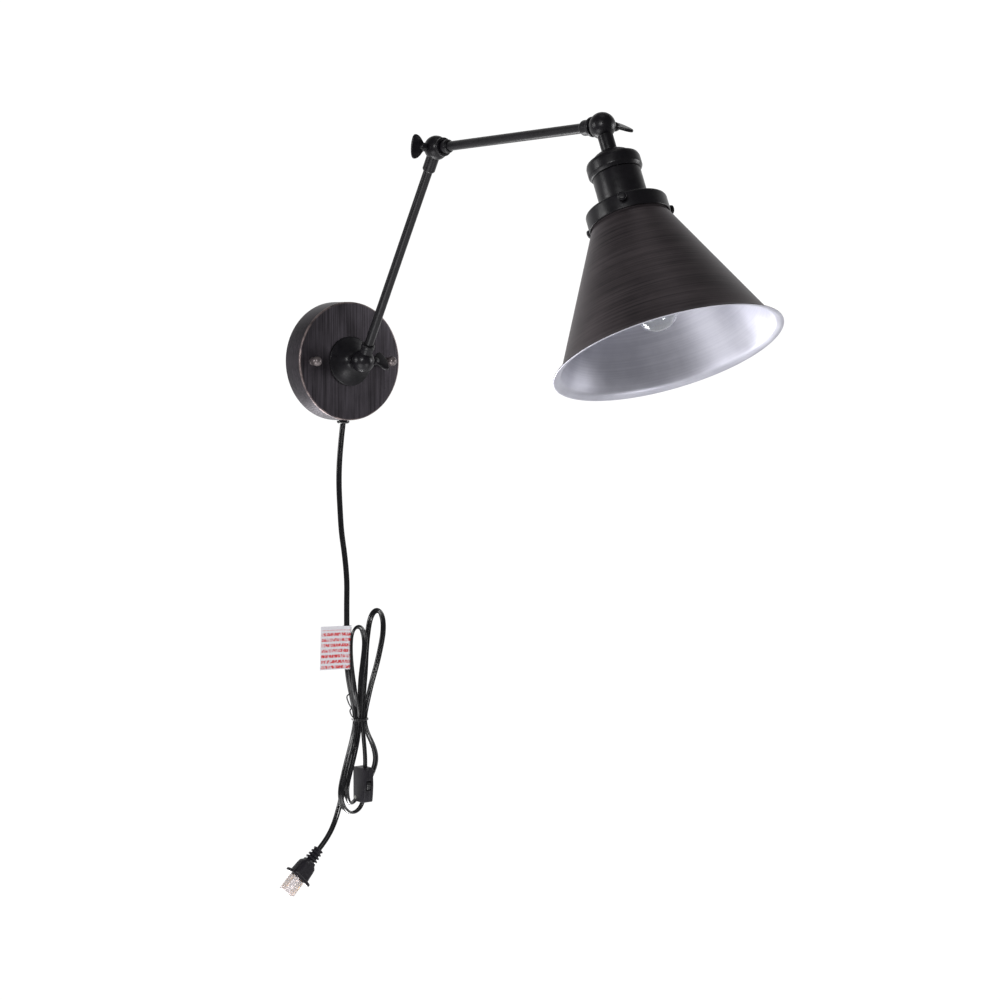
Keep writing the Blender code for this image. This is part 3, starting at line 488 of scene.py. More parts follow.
def tag_print():
    """White coated paper with plain red bars across it, broken into short dashes."""
    paint = Paint("tag_print", Specular_IOR_Level=0.3)
    split = paint.add("ShaderNodeSeparateXYZ", {"Vector": paint.place()})
    x, z = split.outputs[0], split.outputs[2]
    row = paint.math("FRACT", paint.math("MULTIPLY", z, 1 / TAG_ROW))  # 0 to 1 over each bar and its gap
    bar = paint.math("MULTIPLY", paint.span(row, 0.16, 0.26), paint.span(row, 0.82, 0.72))
    inside = paint.math("MULTIPLY", paint.span(x, -0.0316, -0.0310), paint.span(x, 0.0022, 0.0016))
    rows_used = paint.math("MULTIPLY", paint.span(z, -0.0215, -0.0211), paint.span(z, 0.0186, 0.0182))
    gaps = paint.span(paint.grain((700, 1, 420), 2, 2.0), 0.40, 0.56, 0.25, 1.0)
    printed = paint.math("MULTIPLY", bar, inside)
    ink = paint.math("MULTIPLY", printed, paint.math("MULTIPLY", rows_used, gaps))
    fibre = paint.grain((700, 700, 700), 4, 6.0)
    paper = paint.ramp(fibre, linear(238, 236, 244), linear(250, 248, 254))
    paint.colour(paint.mix(ink, paper, linear(226, 62, 66)))
    paint.roughness(fibre, 0.45, 0.65)
    paint.bump(fibre, 0.00002, 0.4)
    return paint.material


BLACK = satin_black()
GUNMETAL = gunmetal()
NUT = nut_metal()
ZINC = plain_metal("zinc", (176, 176, 172), (205, 204, 198), 120, (0.25, 0.42), (1, 1, 3))
BRASS = plain_metal("brass", (190, 150, 84), (214, 178, 108), 150, (0.22, 0.36))
SHADE_OUT = shade_outside()
SHADE_IN = shade_inside()
PORCELAIN = plastic("porcelain", (226, 223, 214), (240, 238, 231), (0.12, 0.2), Coat_Weight=0.4)
NUT_PLASTIC = plastic("nut_plastic", (222, 205, 176), (236, 221, 194), (0.35, 0.5))
GLOSS = {"Coat_Weight": 0.6, "Coat_Roughness": 0.08}
VINYL = plastic("vinyl", (16, 16, 19), (24, 24, 28), (0.18, 0.28), 0, **GLOSS)
CASE = plastic("case_plastic", (25, 22, 29), (34, 31, 39), (0.34, 0.5), Specular_IOR_Level=0.4)
LEAD_WHITE = plastic("lead_white", (216, 214, 208), (232, 230, 225), (0.3, 0.45))
GLASS = clear("bulb_glass", (250, 252, 252), (0.0, 0.02), 1.45, 0.98)
COVER = clear("cover_plastic", (253, 248, 249), (0.34, 0.44), 1.12, 0.98, 0.5)
FILAMENT = plain_metal("filament", (150, 92, 48), (188, 122, 66), 400, (0.3, 0.45))
TAG = tag_print()


# wall side: stations are distances from the wall

CORD_EXIT = Vector((0.0, -0.0130, -0.0600))
STUD_AT = 0.0451  # of each cap nut from the middle
STUD_THREADS = 50
STUD_PITCH = 0.68


def wall_side():
    canopy_profile = [(60.3, 0.3), (60.0, 27.0), (5.3, 27.0), (5.3, 26.0), (59.0, 26.0), (59.3, 0.3)]
    holes = []
    for side in (-1, 1):
        tool = lathe([(0.0, 20.0), (2.6, 20.0), (2.6, 30.0), (0.0, 30.0)], SMALL)
        tool.transform(Matrix.Translation((side * STUD_AT, 0.0, 0.0)))
        holes.append(("DIFFERENCE", tool))
    side_hole = lathe([(0.0, -70.0), (4.3, -70.0), (4.3, -50.0), (0.0, -50.0)], SMALL)
    side_hole.transform(WALL.inverted() @ Matrix.Translation((0.0, CORD_EXIT.y, 0.0)))
    holes.append(("DIFFERENCE", side_hole))
    shell = shaped("canopy", lathe(rounded(canopy_profile, 1.4, 5), FINE), holes)
    dress("canopy", shell, WALL, GUNMETAL)

    trumpet = [(5.2, 27.3), (25.0, 27.3), (25.0, 28.2), (24.0, 28.6)]
    for share in (0.12, 0.25, 0.4, 0.55, 0.7, 0.85):
        trumpet.append((7.4 + 16.8 * (1 - share) ** 2.1, 28.5 + 9.1 * share))
    trumpet += [(7.4, 37.6), (6.3, 37.6), (6.3, 30.5), (5.2, 30.5)]
    dress("base_cone", shaped("cone", lathe(rounded(trumpet, 0.8), ROUND)), WALL, BLACK)

    for side, word in ((-1, "left"), (1, "right")):
        place = WALL @ Matrix.Translation((side * STUD_AT, 0.0, 0.0))
        neck = [(2.3, 27.3), (4.0, 27.3), (4.0, 28.0), (3.6, 28.3), (3.6, 31.8)]
        dome = arc((0.0, 35.4), 5.0, -40, 90, 14)[:-1] + [(0.0, 40.4), (0.0, 35.7), (2.3, 35.7)]
        nut = lathe_blind(rounded(neck, 0.3) + dome, SMALL)
        dress("cap_nut_" + word, shaped("nut", nut), place, NUT)
        threads = [(0.0, 0.4)]
        for turn in range(STUD_THREADS):
            crest = 0.5 + STUD_PITCH * turn
            threads += [(2.0, crest), (1.75, crest + STUD_PITCH / 2)]
        threads += [(1.75, 35.1), (0.0, 35.3)]
        dress("bracket_stud_" + word, shaped("stud", lathe(threads, 24)), place, ZINC)

    grommet = [(3.3, -63.5), (5.2, -63.5), (6.5, -62.4), (6.5, -60.5), (4.0, -60.5), (4.0, -58.5)]
    grommet += [(5.1, -58.5), (4.4, -55.5), (3.3, -55.5)]
    place = Matrix.Translation((0.0, CORD_EXIT.y, 0.0))
    dress("cord_bushing", shaped("bushing", lathe(rounded(grommet, 0.7), SMALL)), place, VINYL)

    for side, word, sheath in ((-1, "live", VINYL), (1, "neutral", LEAD_WHITE)):
        low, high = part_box("wire_nut_" + word)
        end = Vector(((low.x + high.x) / 2, (low.y + high.y) / 2, low.z))
        cap = [(0.0, 0.0), (5.2, 0.0), (5.2, 3.0), (3.4, 14.5), (2.2, 16.0), (0.0, 16.0)]
        knob = shaped("wire_nut", lathe(rounded(cap, 0.6), 64, 0.12, 16))
        dress("wire_nut_" + word, knob, Matrix.Translation(end), NUT_PLASTIC)
        route = [(side * 0.0013, -0.013, -0.054), (side * 0.005, -0.0125, -0.047)]
        route += [(side * 0.015, -0.0124, -0.041), (end.x - side * 0.0008, end.y, end.z - 0.006)]
        route += [(end.x, end.y, end.z + 0.001)]
        dress(word + "_lead", shaped("lead", wire(route, 0.0011)), Matrix.Identity(4), sheath)
        arm_route = [(side * 0.0016, -0.0160, 0.0), (side * 0.0030, -0.0125, -0.002)]
        arm_route += [(side * 0.012, -0.0098, -0.014), (side * 0.0215, -0.0118, -0.0345)]
        arm_route += [(end.x + side * 0.0016, end.y, end.z + 0.0012)]
        thing = shaped("arm_lead", wire(arm_route, 0.0010))
        piece("arm_lead_" + word, thing, "wall_side", sheath)


def lathe_blind(profile, segments):
    """A lathe whose profile meets the axis twice inside and whose free ends are joined at the mouth."""
    shape = lathe(profile, segments)
    bmesh.ops.bridge_loops(shape, edges=[edge for edge in shape.edges if edge.is_boundary])
    return shape


def piece(name, thing, body, material):
    """A piece that stands for no node, already in place."""
    thing.name = name
    thing.data.materials.append(material)
    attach(thing, body)
    return thing


# knuckles and arms: stations are distances from a knuckle's centre

BALL = 11.7
RELIEF = 0.4  # between a neck's root and the other half's ball
HALF_GAP = 0.15
WIRE_BORE = 2.5
SCREW = 2.4  # radius of a wing screw's shank


def knuckle(node, side, neck, socket, place, through=False):
    """Half a ball on one side of x = 0, and its neck along +Z, as (radius, station) points.

    socket is the radius and depth of the hole in the neck's end. With through, the screw's hole goes
    through the ball's side.
    """
    foot = (BALL**2 - neck[0][0] ** 2) ** 0.5
    top = degrees(asin(foot / BALL))
    ball = [(0.0, -BALL)] + arc((0.0, 0.0), BALL, -90, top, 28)[1:-1]
    radius, depth = socket
    end = neck[-1][1]
    outline = [(neck[0][0], foot)] + neck
    if radius:
        floor = end - depth
        outline += [(radius, end), (radius, floor), (WIRE_BORE, floor), (WIRE_BORE, 5.0), (0.0, 5.0)]
    else:
        outline += [(0.0, end)]
    profile = ball + rounded(outline, 0.35)
    reach = BALL + RELIEF
    dome = [(0.0, -HALF_GAP), (reach, -HALF_GAP)] + arc((0.0, 0.0), reach, 3, 87, 16) + [(0.0, reach)]
    relief = lathe(dome, ROUND)
    relief.transform(Matrix.Rotation(-side * pi / 2, 4, "Y"))
    hole = rod_x(SCREW + 0.3, -1.0, 16.0 if through else 8.5, 24)
    if side < 0:
        hole.transform(Matrix.Rotation(pi, 4, "Z"))
    tools = [("DIFFERENCE", relief), ("DIFFERENCE", hole)]
    dress(node, shaped(node, lathe(profile, 64), tools), place, BLACK)


def tube(word, place, start, end):
    wall = [(3.6, start), (4.5, start), (4.5, end), (3.6, end)]
    dress(word + "_tube", shaped("tube", lathe(wall, 64)), place, BLACK)
    core = [(0.0, start + 1), (1.8, start + 1), (1.8, end - 1), (0.0, end - 1)]
    dress(word + "_wire", shaped("wire", lathe(core, 24)), place, VINYL)


def lock_ring(node, place):
    ring = [(6.1, 10.5), (8.9, 10.5), (8.9, 13.5), (6.1, 13.5)]
    dress(node, shaped("ring", lathe(rounded(ring, 0.7), ROUND)), place, BLACK)


def wing_screw(node, at, side, turn):
    """A thumbscrew, its fan-shaped plate turned about X from lying level."""
    half = [(14.0, 2.6), (16.2, 5.4), (18.6, 8.4), (21.4, 10.6), (24.2, 11.5), (26.3, 10.9), (27.7, 8.4)]
    half += [(28.5, 4.6)]
    outline = half + [(28.8, 0.0)] + [(x, -y) for x, y in reversed(half)] + [(13.6, 0.0)]
    smooth = catmull_rom([(side * x, y) for x, y in outline], 5, True)
    plate = prism(smooth, -1.3, 1.3)
    hub = lathe(rounded([(0.0, 12.2), (4.2, 12.2), (4.2, 15.0), (3.0, 18.0), (0.0, 20.5)], 0.8), SMALL)
    hub.transform(Matrix.Rotation(side * pi / 2, 4, "Y"))
    shank = rod_x(SCREW, *sorted((-side * 6.0, side * 13.0)), 24)
    thing = shaped(node, plate, [], 0.9)
    merged = bmesh.new()
    merged.from_mesh(thing.data)
    bpy.data.objects.remove(thing)
    thing = shaped(node, merged, [("UNION", hub), ("UNION", shank)])
    dress(node, thing, Matrix.Translation(at) @ Matrix.Rotation(turn, 4, "X"), BLACK)


def arms():
    knuckle("base_knuckle", -1, [(6.8, 12.1), (6.0, 12.1), (6.0, 19.0)], (5.1, 6.0), BASE_NECK)
    neck = [(6.2, 15.4), (6.7, 15.8), (6.7, 19.2), (5.6, 20.2)]
    knuckle("lower_arm_base_knuckle", 1, neck, (4.8, 5.5), LOWER, True)
    neck = [(6.25, 23.2), (5.4, 24.6)]
    knuckle("lower_arm_elbow_knuckle", -1, neck, (4.8, 6.0), LOWER_END, True)
    tube("lower_arm", LOWER, 15.0, LOWER_LENGTH - 19.0)
    neck = [(5.8, 14.8), (6.4, 15.3), (6.4, 20.5), (5.3, 22.5)]
    knuckle("upper_arm_elbow_knuckle", 1, neck, (4.8, 5.5), UPPER)
    neck = [(5.8, 14.8), (6.9, 15.3), (6.9, 23.5), (5.3, 26.2)]
    knuckle("upper_arm_head_knuckle", -1, neck, (4.8, 8.0), UPPER_END)
    tube("upper_arm", UPPER, 17.4, UPPER_LENGTH - 18.6)
    lock_ring("elbow_lock_ring", UPPER)
    lock_ring("head_lock_ring", UPPER_END)
    wing_screw("base_wing_screw", BASE_AT, 1, radians(47))
    wing_screw("elbow_wing_screw", ELBOW_AT, -1, radians(97.5))
    wing_screw("head_wing_screw", HEAD_AT, 1, radians(21))
    for node in ("swivel_nipple", "swivel_washer", "swivel_nut"):
        finish_node(node, ZINC)


def finish_node(node, material):
    """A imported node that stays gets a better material."""
    data = frame["nodes"][node].data
    data.materials.clear()
    data.materials.append(material)


# head: stations run down the lamp's axis from the head knuckle

SHADE_SCREW_STATION = 84.0
SHADE_SCREW_ANGLES = (15, 135, 255)


def head():
    knuckle("head_knuckle", 1, [(6.8, 24.5), (4.8, 24.5), (4.8, 31.5)], (0.0, 0.0), LAMP, True)
    cap = [(5.1, 24.8), (7.2, 24.8), (11.2, 26.2), (15.5, 28.8), (18.9, 32.3), (20.6, 32.8)]
    cap += [(22.8, 33.6), (23.8, 36.4), (23.8, 44.4), (21.8, 47.4), (20.2, 47.4), (20.2, 39.5)]
    cap += [(18.0, 35.0), (13.0, 31.2), (5.1, 29.0)]
    dress("socket_cap", shaped("cap", lathe(rounded(cap, 0.8), ROUND)), LAMP, BLACK)
    cup = [(20.0, 47.7), (21.2, 47.7), (21.2, 76.2), (20.0, 76.2)]
    dress("socket_cup", shaped("cup", lathe(rounded(cup, 0.4), ROUND)), LAMP, BLACK)

    body = [(0.0, 52.0), (18.0, 52.0), (18.0, 91.5), (14.6, 91.5), (14.6, 56.0), (0.0, 56.0)]
    dress("lampholder", shaped("lampholder", lathe(rounded(body, 0.8), ROUND)), LAMP, PORCELAIN)
    shell = [(13.7, 62.0), (14.3, 62.0), (14.3, 90.0), (13.7, 90.0)]
    dress("screw_shell", shaped("shell", lathe(shell, ROUND)), LAMP, BRASS)
    spring = [(0.0, 56.3), (5.5, 56.3), (5.5, 57.0), (2.0, 59.0), (0.0, 59.0)]
    dress("centre_contact", shaped("contact", lathe(rounded(spring, 0.3), 32)), LAMP, BRASS)

    ring = [(18.4, 76.7), (32.0, 76.7), (35.7, 78.3), (35.7, 92.0), (34.4, 92.0), (34.4, 78.6)]
    ring += [(18.4, 78.0)]
    level = Matrix.Translation((0, 0, SHADE_SCREW_STATION * MM))
    spots = [level @ Matrix.Rotation(radians(angle), 4, "Z") for angle in SHADE_SCREW_ANGLES]
    drills = []
    for spot in spots:
        drill = rod_x(1.8, 30.0, 45.0, 24)
        drill.transform(spot)
        drills.append(("DIFFERENCE", drill))
    dress("fitter_ring", shaped("ring", lathe(rounded(ring, 2.2, 6), FINE), drills), LAMP, BLACK)
    knob = [(1.4, 40.2), (3.8, 40.4), (3.8, 42.8), (2.4, 43.6), (0.0, 43.7)]
    screw = [(0.0, 34.1), (1.4, 34.1)] + rounded(knob, 0.35, 3)
    for number, spot in enumerate(spots, 1):
        thing = shaped("thumb", lathe(screw, 72, 0.1, 18))
        dress(f"shade_screw_{number}", thing, LAMP @ spot @ Matrix.Rotation(pi / 2, 4, "Y"), BLACK)

    outer = [(33.8, 80.0), (33.8, 93.2), (35.2, 95.0), (90.5, 207.0), (93.2, 211.4), (97.2, 213.6)]
    outer += [(99.4, 213.8), (99.5, 214.6), (98.9, 215.0)]
    inner = [(97.0, 214.7), (92.4, 212.3), (89.5, 207.4), (34.2, 95.4), (32.8, 93.8), (32.8, 80.0)]
    cone = shaped("shade", lathe(rounded(outer + inner, 3.0, 6), 200))
    dress("shade", cone, LAMP, SHADE_OUT)
    cone.data.materials.append(SHADE_IN)
    for face in cone.data.polygons:
        across = Vector((face.center.x, face.center.y, 0.0))
        face.material_index = 1 if face.normal.dot(across) < 0 or face.normal.z > 0.5 else 0


BASE_THREADS = 6
BASE_PITCH = 3.6
FILAMENT_LOOPS = 7


def bulb():
    """A clear tubular bulb with a cage of fine filament on a glass stem."""
    outside = [(11.8, 90.5), (11.8, 95.5), (14.0, 103.0), (17.8, 113.0), (19.0, 122.0), (19.0, 150.0)]
    outside += arc((0.0, 173.5), 19.0, 0, 84, 14) + [(0.0, 192.5)]
    inside = [(0.0, 191.7)] + arc((0.0, 173.5), 18.2, 84, 0, 14)
    inside += [(18.2, 150.0), (18.2, 122.2), (17.0, 113.3), (13.2, 103.4), (11.0, 95.7), (11.0, 90.5)]
    envelope = lathe_blind(rounded(outside, 4.0) + rounded(inside, 4.0), ROUND)
    dress("bulb_glass", shaped("glass", envelope), LAMP, GLASS)

    threads = [(7.0, 66.4), (11.0, 66.8), (12.2, 68.4)]
    for turn in range(BASE_THREADS):
        root = 69.4 + BASE_PITCH * turn
        threads += [(12.2, root), (12.9, root + BASE_PITCH / 2)]
    threads += [(12.2, 91.2), (12.9, 92.2), (12.9, 94.0), (12.2, 94.0), (11.9, 69.5), (7.0, 67.2)]
    dress("bulb_base", shaped("base", lathe(rounded(threads, 0.9), ROUND)), LAMP, BRASS)
    tip = [(0.0, 65.2), (5.0, 66.0), (6.4, 66.6), (6.4, 67.2), (0.0, 67.2)]
    dress("bulb_contact", shaped("tip", lathe(rounded(tip, 0.4), 32)), LAMP, ZINC)
    stem = [(0.0, 90.5), (9.8, 90.5), (6.0, 96.5), (2.8, 106.0), (2.6, 117.0)]
    stem += [(3.4, 118.0), (0.0, 118.0)]
    dress("bulb_stem", shaped("stem", lathe(rounded(stem, 1.6), SMALL)), LAMP, GLASS)
    feet = [(6.0, 124.0), (8.0, 164.0)]  # of the filament's zigzag, as radius and station
    cage = []
    for i in range(2 * FILAMENT_LOOPS):
        angle = pi * i / FILAMENT_LOOPS
        radius, station = feet[i % 2]
        cage.append(Vector((radius * cos(angle), radius * sin(angle), station)) * MM)
    dress("bulb_filament", shaped("filament", strand(even(cage, 0.002), 0.0002, 8)), LAMP, FILAMENT)
    posts = []
    for i in range(FILAMENT_LOOPS):
        angle = 2 * pi * i / FILAMENT_LOOPS
        posts.append((f"filament_post_{i}_6", (6.0 * cos(angle), 6.0 * sin(angle), 124.5)))
    posts.insert(1, ("filament_post_0_0", (0.0, 0.0, 164.5)))
    for name, end in posts:
        thing = shaped("post", strand([Vector((0, 0, 117.0)) * MM, Vector(end) * MM], 0.00025, 8))
        thing.matrix_world = LAMP
        piece(name, thing, "head", ZINC)


# cord

CORD_WIDTH = 0.0058
HANK_PLANE = -0.0170

# Each point is X, Y and Z, and how far the flat cord is turned from standing edge-on to the wall, in
# degrees. DROP runs from the bushing down to the hank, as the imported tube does.
DROP = [
    (0.0000, -0.0130, -0.0600, -53),
    (0.0000, -0.0130, -0.0638, -53),
    (-0.0012, -0.0130, -0.0700, -53),
    (-0.0046, -0.0131, -0.1000, -53),
    (-0.0056, -0.0133, -0.1250, -60),
    (-0.0047, -0.0136, -0.1500, -66),
    (-0.0034, -0.0142, -0.1740, -62),
    (-0.0002, -0.0150, -0.1990, -56),
    (0.0015, -0.0160, -0.2240, -53),
    (0.0008, -0.0168, -0.2480, -53),
    (0.0006, -0.0170, -0.2618, -53),
]
# past the tag and the tie, down the left of the hank and up through the switch
FIRST_LOOP = [
    (0.0006, -0.0170, -0.2900, -53),
    (0.0012, -0.0168, -0.3150, -50),
    (0.0042, -0.0164, -0.3330, -46),
    (0.0082, -0.0160, -0.3500, -28),
    (0.0103, -0.0170, -0.3690, 0),
    (0.0060, -0.0184, -0.3880, -26),
    (-0.0006, -0.0196, -0.4070, -46),
    (-0.0066, -0.0203, -0.4250, -53),
    (-0.0104, -0.0208, -0.4400, -53),
    (-0.0092, -0.0208, -0.4535, -42),
    (-0.0028, -0.0205, -0.4628, -20),
    (0.0058, -0.0203, -0.4655, -4),
    (0.0138, -0.0200, -0.4616, 0),
    (0.0184, -0.0197, -0.4525, 0),
    (0.0190, -0.0202, -0.4370, 0),
    (0.0196, -0.0212, -0.4210, 0),
]
# round the right upper loop and down to the bulge at the right
RIGHT_LOOP = [
    (0.0198, -0.0208, -0.4060, 0),
    (0.0196, -0.0185, -0.3880, 0),
    (0.0193, -0.0170, -0.3690, 0),
    (0.0216, -0.0155, -0.3450, 32),
    (0.0246, -0.0145, -0.3200, 48),
    (0.0262, -0.0140, -0.3000, 53),
    (0.0282, -0.0140, -0.2820, 54),
    (0.0318, -0.0140, -0.2650, 60),
    (0.0392, -0.0140, -0.2565, 78),
    (0.0464, -0.0142, -0.2640, 100),
    (0.0474, -0.0144, -0.2800, 118),
    (0.0438, -0.0146, -0.2970, 126),
    (0.0386, -0.0148, -0.3150, 128),
    (0.0298, -0.0154, -0.3400, 136),
    (0.0223, -0.0170, -0.3690, 180),
    (0.0258, -0.0168, -0.3850, 158),
    (0.0330, -0.0155, -0.3980, 136),
    (0.0380, -0.0135, -0.4100, 127),
    (0.0388, -0.0110, -0.4200, 127),
    (0.0354, -0.0080, -0.4320, 145),
]
# behind the switch, up the left, round the left upper loop and down again
LEFT_LOOP = [
    (0.0290, -0.0058, -0.4430, 166),
    (0.0215, -0.0052, -0.4520, 180),
    (0.0140, -0.0068, -0.4580, 186),
    (0.0074, -0.0100, -0.4580, 196),
    (0.0018, -0.0140, -0.4500, 214),
    (-0.0002, -0.0164, -0.4380, 230),
    (0.0034, -0.0172, -0.4230, 233),
    (0.0088, -0.0174, -0.4050, 226),
    (0.0132, -0.0173, -0.3880, 204),
    (0.0163, -0.0170, -0.3690, 180),
    (0.0157, -0.0184, -0.3480, 208),
    (0.0160, -0.0196, -0.3270, 230),
    (0.0190, -0.0202, -0.3040, 233),
    (0.0206, -0.0202, -0.2890, 230),
    (0.0182, -0.0202, -0.2765, 224),
    (0.0120, -0.0202, -0.2708, 217),
    (0.0060, -0.0202, -0.2765, 217),
    (0.0040, -0.0202, -0.2900, 219),
    (0.0044, -0.0202, -0.3080, 226),
    (0.0060, -0.0202, -0.3270, 262),
    (0.0092, -0.0196, -0.3480, 312),
    (0.0133, -0.0170, -0.3690, 360),
    (0.0112, -0.0158, -0.3880, 334),
    (0.0058, -0.0146, -0.4060, 314),
    (0.0006, -0.0137, -0.4240, 307),
    (-0.0030, -0.0133, -0.4400, 307),
    (-0.0054, -0.0133, -0.4530, 300),
]
# out of the hank to the plug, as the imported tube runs
TAIL = [
    (-0.0086, -0.0140, -0.4602, 294),
    (-0.0120, -0.0150, -0.4680, 286),
    (-0.0181, -0.0163, -0.4790, 276),
    (-0.0260, -0.0170, -0.4894, 270),
    (-0.0343, -0.0170, -0.4978, 270),
    (-0.0385, -0.0170, -0.5020, 270),
]


def flat_cord_outline():
    """Two round cores side by side with a groove between them."""
    lobe = CORD_WIDTH / 4
    groove = 0.68 * lobe
    outline = []
    for i in range(28):
        angle = 2 * pi * i / 28
        radius = max(2 * lobe * abs(cos(angle)), groove)
        outline.append((radius * cos(angle), radius * sin(angle)))
    return outline


def cord():
    route = DROP + FIRST_LOOP + RIGHT_LOOP + LEFT_LOOP + TAIL
    spots = even(catmull_rom(route, 14), 0.0018)
    for _ in range(12):
        inner = [(a + 2 * b + c) / 4 for a, b, c in zip(spots, spots[1:], spots[2:])]
        spots = [spots[0]] + inner + [spots[-1]]
    path = [spot.xyz for spot in spots]
    wide = []
    for i, spot in enumerate(spots):
        tangent = (path[min(i + 1, len(path) - 1)] - path[max(i - 1, 0)]).normalized()
        deep = Vector((0.0, 1.0, 0.0))
        deep = (deep - tangent * deep.dot(tangent)).normalized()
        angle = radians(spot.w)
        wide.append(deep * cos(angle) + tangent.cross(deep) * sin(angle))
    thing = shaped("cord", sweep(path, flat_cord_outline(), wide))
    thing.data.set_sharp_from_angle(angle=radians(60))
    dress("cord_hank", thing, Matrix.Identity(4), VINYL, ("cord_drop", "cord_tail"))
    thing.name = "cord_look"
    length = sum((b - a).length for a, b in zip(path, path[1:]))
    return thing, path, length


def tie():
    """A wire tie, twice round the waist of the hank, with its ends twisted together."""
    steps = 24  # for one turn
    points = []
    for i in range(2 * steps + 5):
        x, y = superellipse_point(2 * pi * i / steps + radians(200), 0.0084, 0.0040, 4)
        points.append((0.0163 + x, HANK_PLANE + y, -0.3702 + 0.0011 * i / steps))
    loop = shaped("tie", wire(points, 0.0007, 0.001))
    dress("cord_tie", loop, Matrix.Identity(4), VINYL)
    tail = [(0.0076, -0.0185, -0.3680), (0.0036, -0.0208, -0.3640), (0.0016, -0.0206, -0.3585)]
    tail += [(0.0032, -0.0208, -0.3560), (0.0006, -0.0206, -0.3515), (-0.0020, -0.0206, -0.3446)]
    tail += [(-0.0008, -0.0206, -0.3420), (0.0018, -0.0206, -0.3410)]
    thing = shaped("tie_tail", wire(tail, 0.0007, 0.001))
    return [loop, piece("tie_tail", thing, "wall_side", VINYL)]


def tag():
    """A printed flag of paper folded round the cord, with its two flaps stuck together."""
    front = [(-32.2, -0.12), (-15.0, -0.20), (-6.0, -0.6), (-3.0, -2.6)]
    middle = front + arc((0.0, 0.0), 4.0, -100, 100, 8) + [(x, -y) for x, y in reversed(front)]
    line = catmull_rom(middle, 4)
    half = 0.09
    left, right = [], []
    for i, point in enumerate(line):
        tangent = (line[min(i + 1, len(line) - 1)] - line[max(i - 1, 0)]).normalized()
        normal = Vector((tangent.y, -tangent.x))
        left.append(point + normal * half)
        right.append(point - normal * half)
    shape = prism(left + right[::-1], -22.3, 22.3)
    place = Matrix.Translation((0.0008, HANK_PLANE, -0.2930)) @ Matrix.Rotation(radians(2.0), 4, "Y")
    return dress("cord_tag", shaped("tag", shape), place, TAG)


def switch():
    """The inline switch: two case halves with a seam, the thumb wheel and a rivet."""
    pieces = []
    low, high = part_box("switch_case_left")
    far_low, far_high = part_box("switch_case_right")
    y0, y1, z0, z1 = [v / MM for v in (low.y, high.y, low.z, high.z)]
    middle = (high.x + far_low.x) / 2
    corners = [(y0 + 0.4, z1), (y1 - 0.8, z1), (y1, z1 - 3), (y1, z0 + 3), (y1 - 0.8, z0)]
    corners += [(y0 + 2.0, z0), (y0 + 0.9, z0 + 8), (y0, (z0 + z1) / 2), (y0 + 0.5, z1 - 8)]
    clear_of_axis = 100  # rounded() takes a profile that meets the axis for an open one
    profile = rounded([(y + clear_of_axis, z) for y, z in corners], 2.2, 5)
    wheel_at = centre("switch_wheel")
    turn = Matrix.Rotation(pi / 2, 4, "Y")
    for side, word, edge in ((-1, "left", low.x), (1, "right", far_high.x)):
        near, far = sorted(((middle + side * 0.00012) / MM, edge / MM))
        flipped = prism([(-z, y - clear_of_axis) for y, z in profile], near, far)
        flipped.transform(turn)
        slot = lathe([(0.0, -2.9), (8.6, -2.9), (8.6, 2.9), (0.0, 2.9)], 64)
        slot.transform(Matrix.Translation(wheel_at) @ turn)
        thing = shaped("case", flipped, [("DIFFERENCE", slot)], 0.7)
        pieces.append(dress("switch_case_" + word, thing, Matrix.Identity(4), CASE))
    rim = [(0.0, -2.2), (7.4, -2.2), (8.0, -1.7), (8.0, 1.7), (7.4, 2.2), (0.0, 2.2)]
    wheel = shaped("wheel", lathe(rim, 120, 0.16, 30))
    pieces.append(dress("switch_wheel", wheel, Matrix.Translation(wheel_at) @ turn, VINYL))
    head_end = [(1.2, 5.1), (2.1, 5.2), (1.9, 5.6), (0.0, 5.8)]
    rivet = shaped("rivet", lathe([(r, -z) for r, z in reversed(head_end)] + head_end, 32))
    rivet_at = Matrix.Translation(centre("switch_rivet"))
    pieces.append(dress("switch_rivet", rivet, rivet_at @ turn, ZINC))
    return pieces


# the frame at the plug's strain relief, with +Z towards the blades
PLUG = Matrix.Translation((-0.0345, HANK_PLANE, -0.4980)) @ Matrix.Rotation(radians(225), 4, "Y")


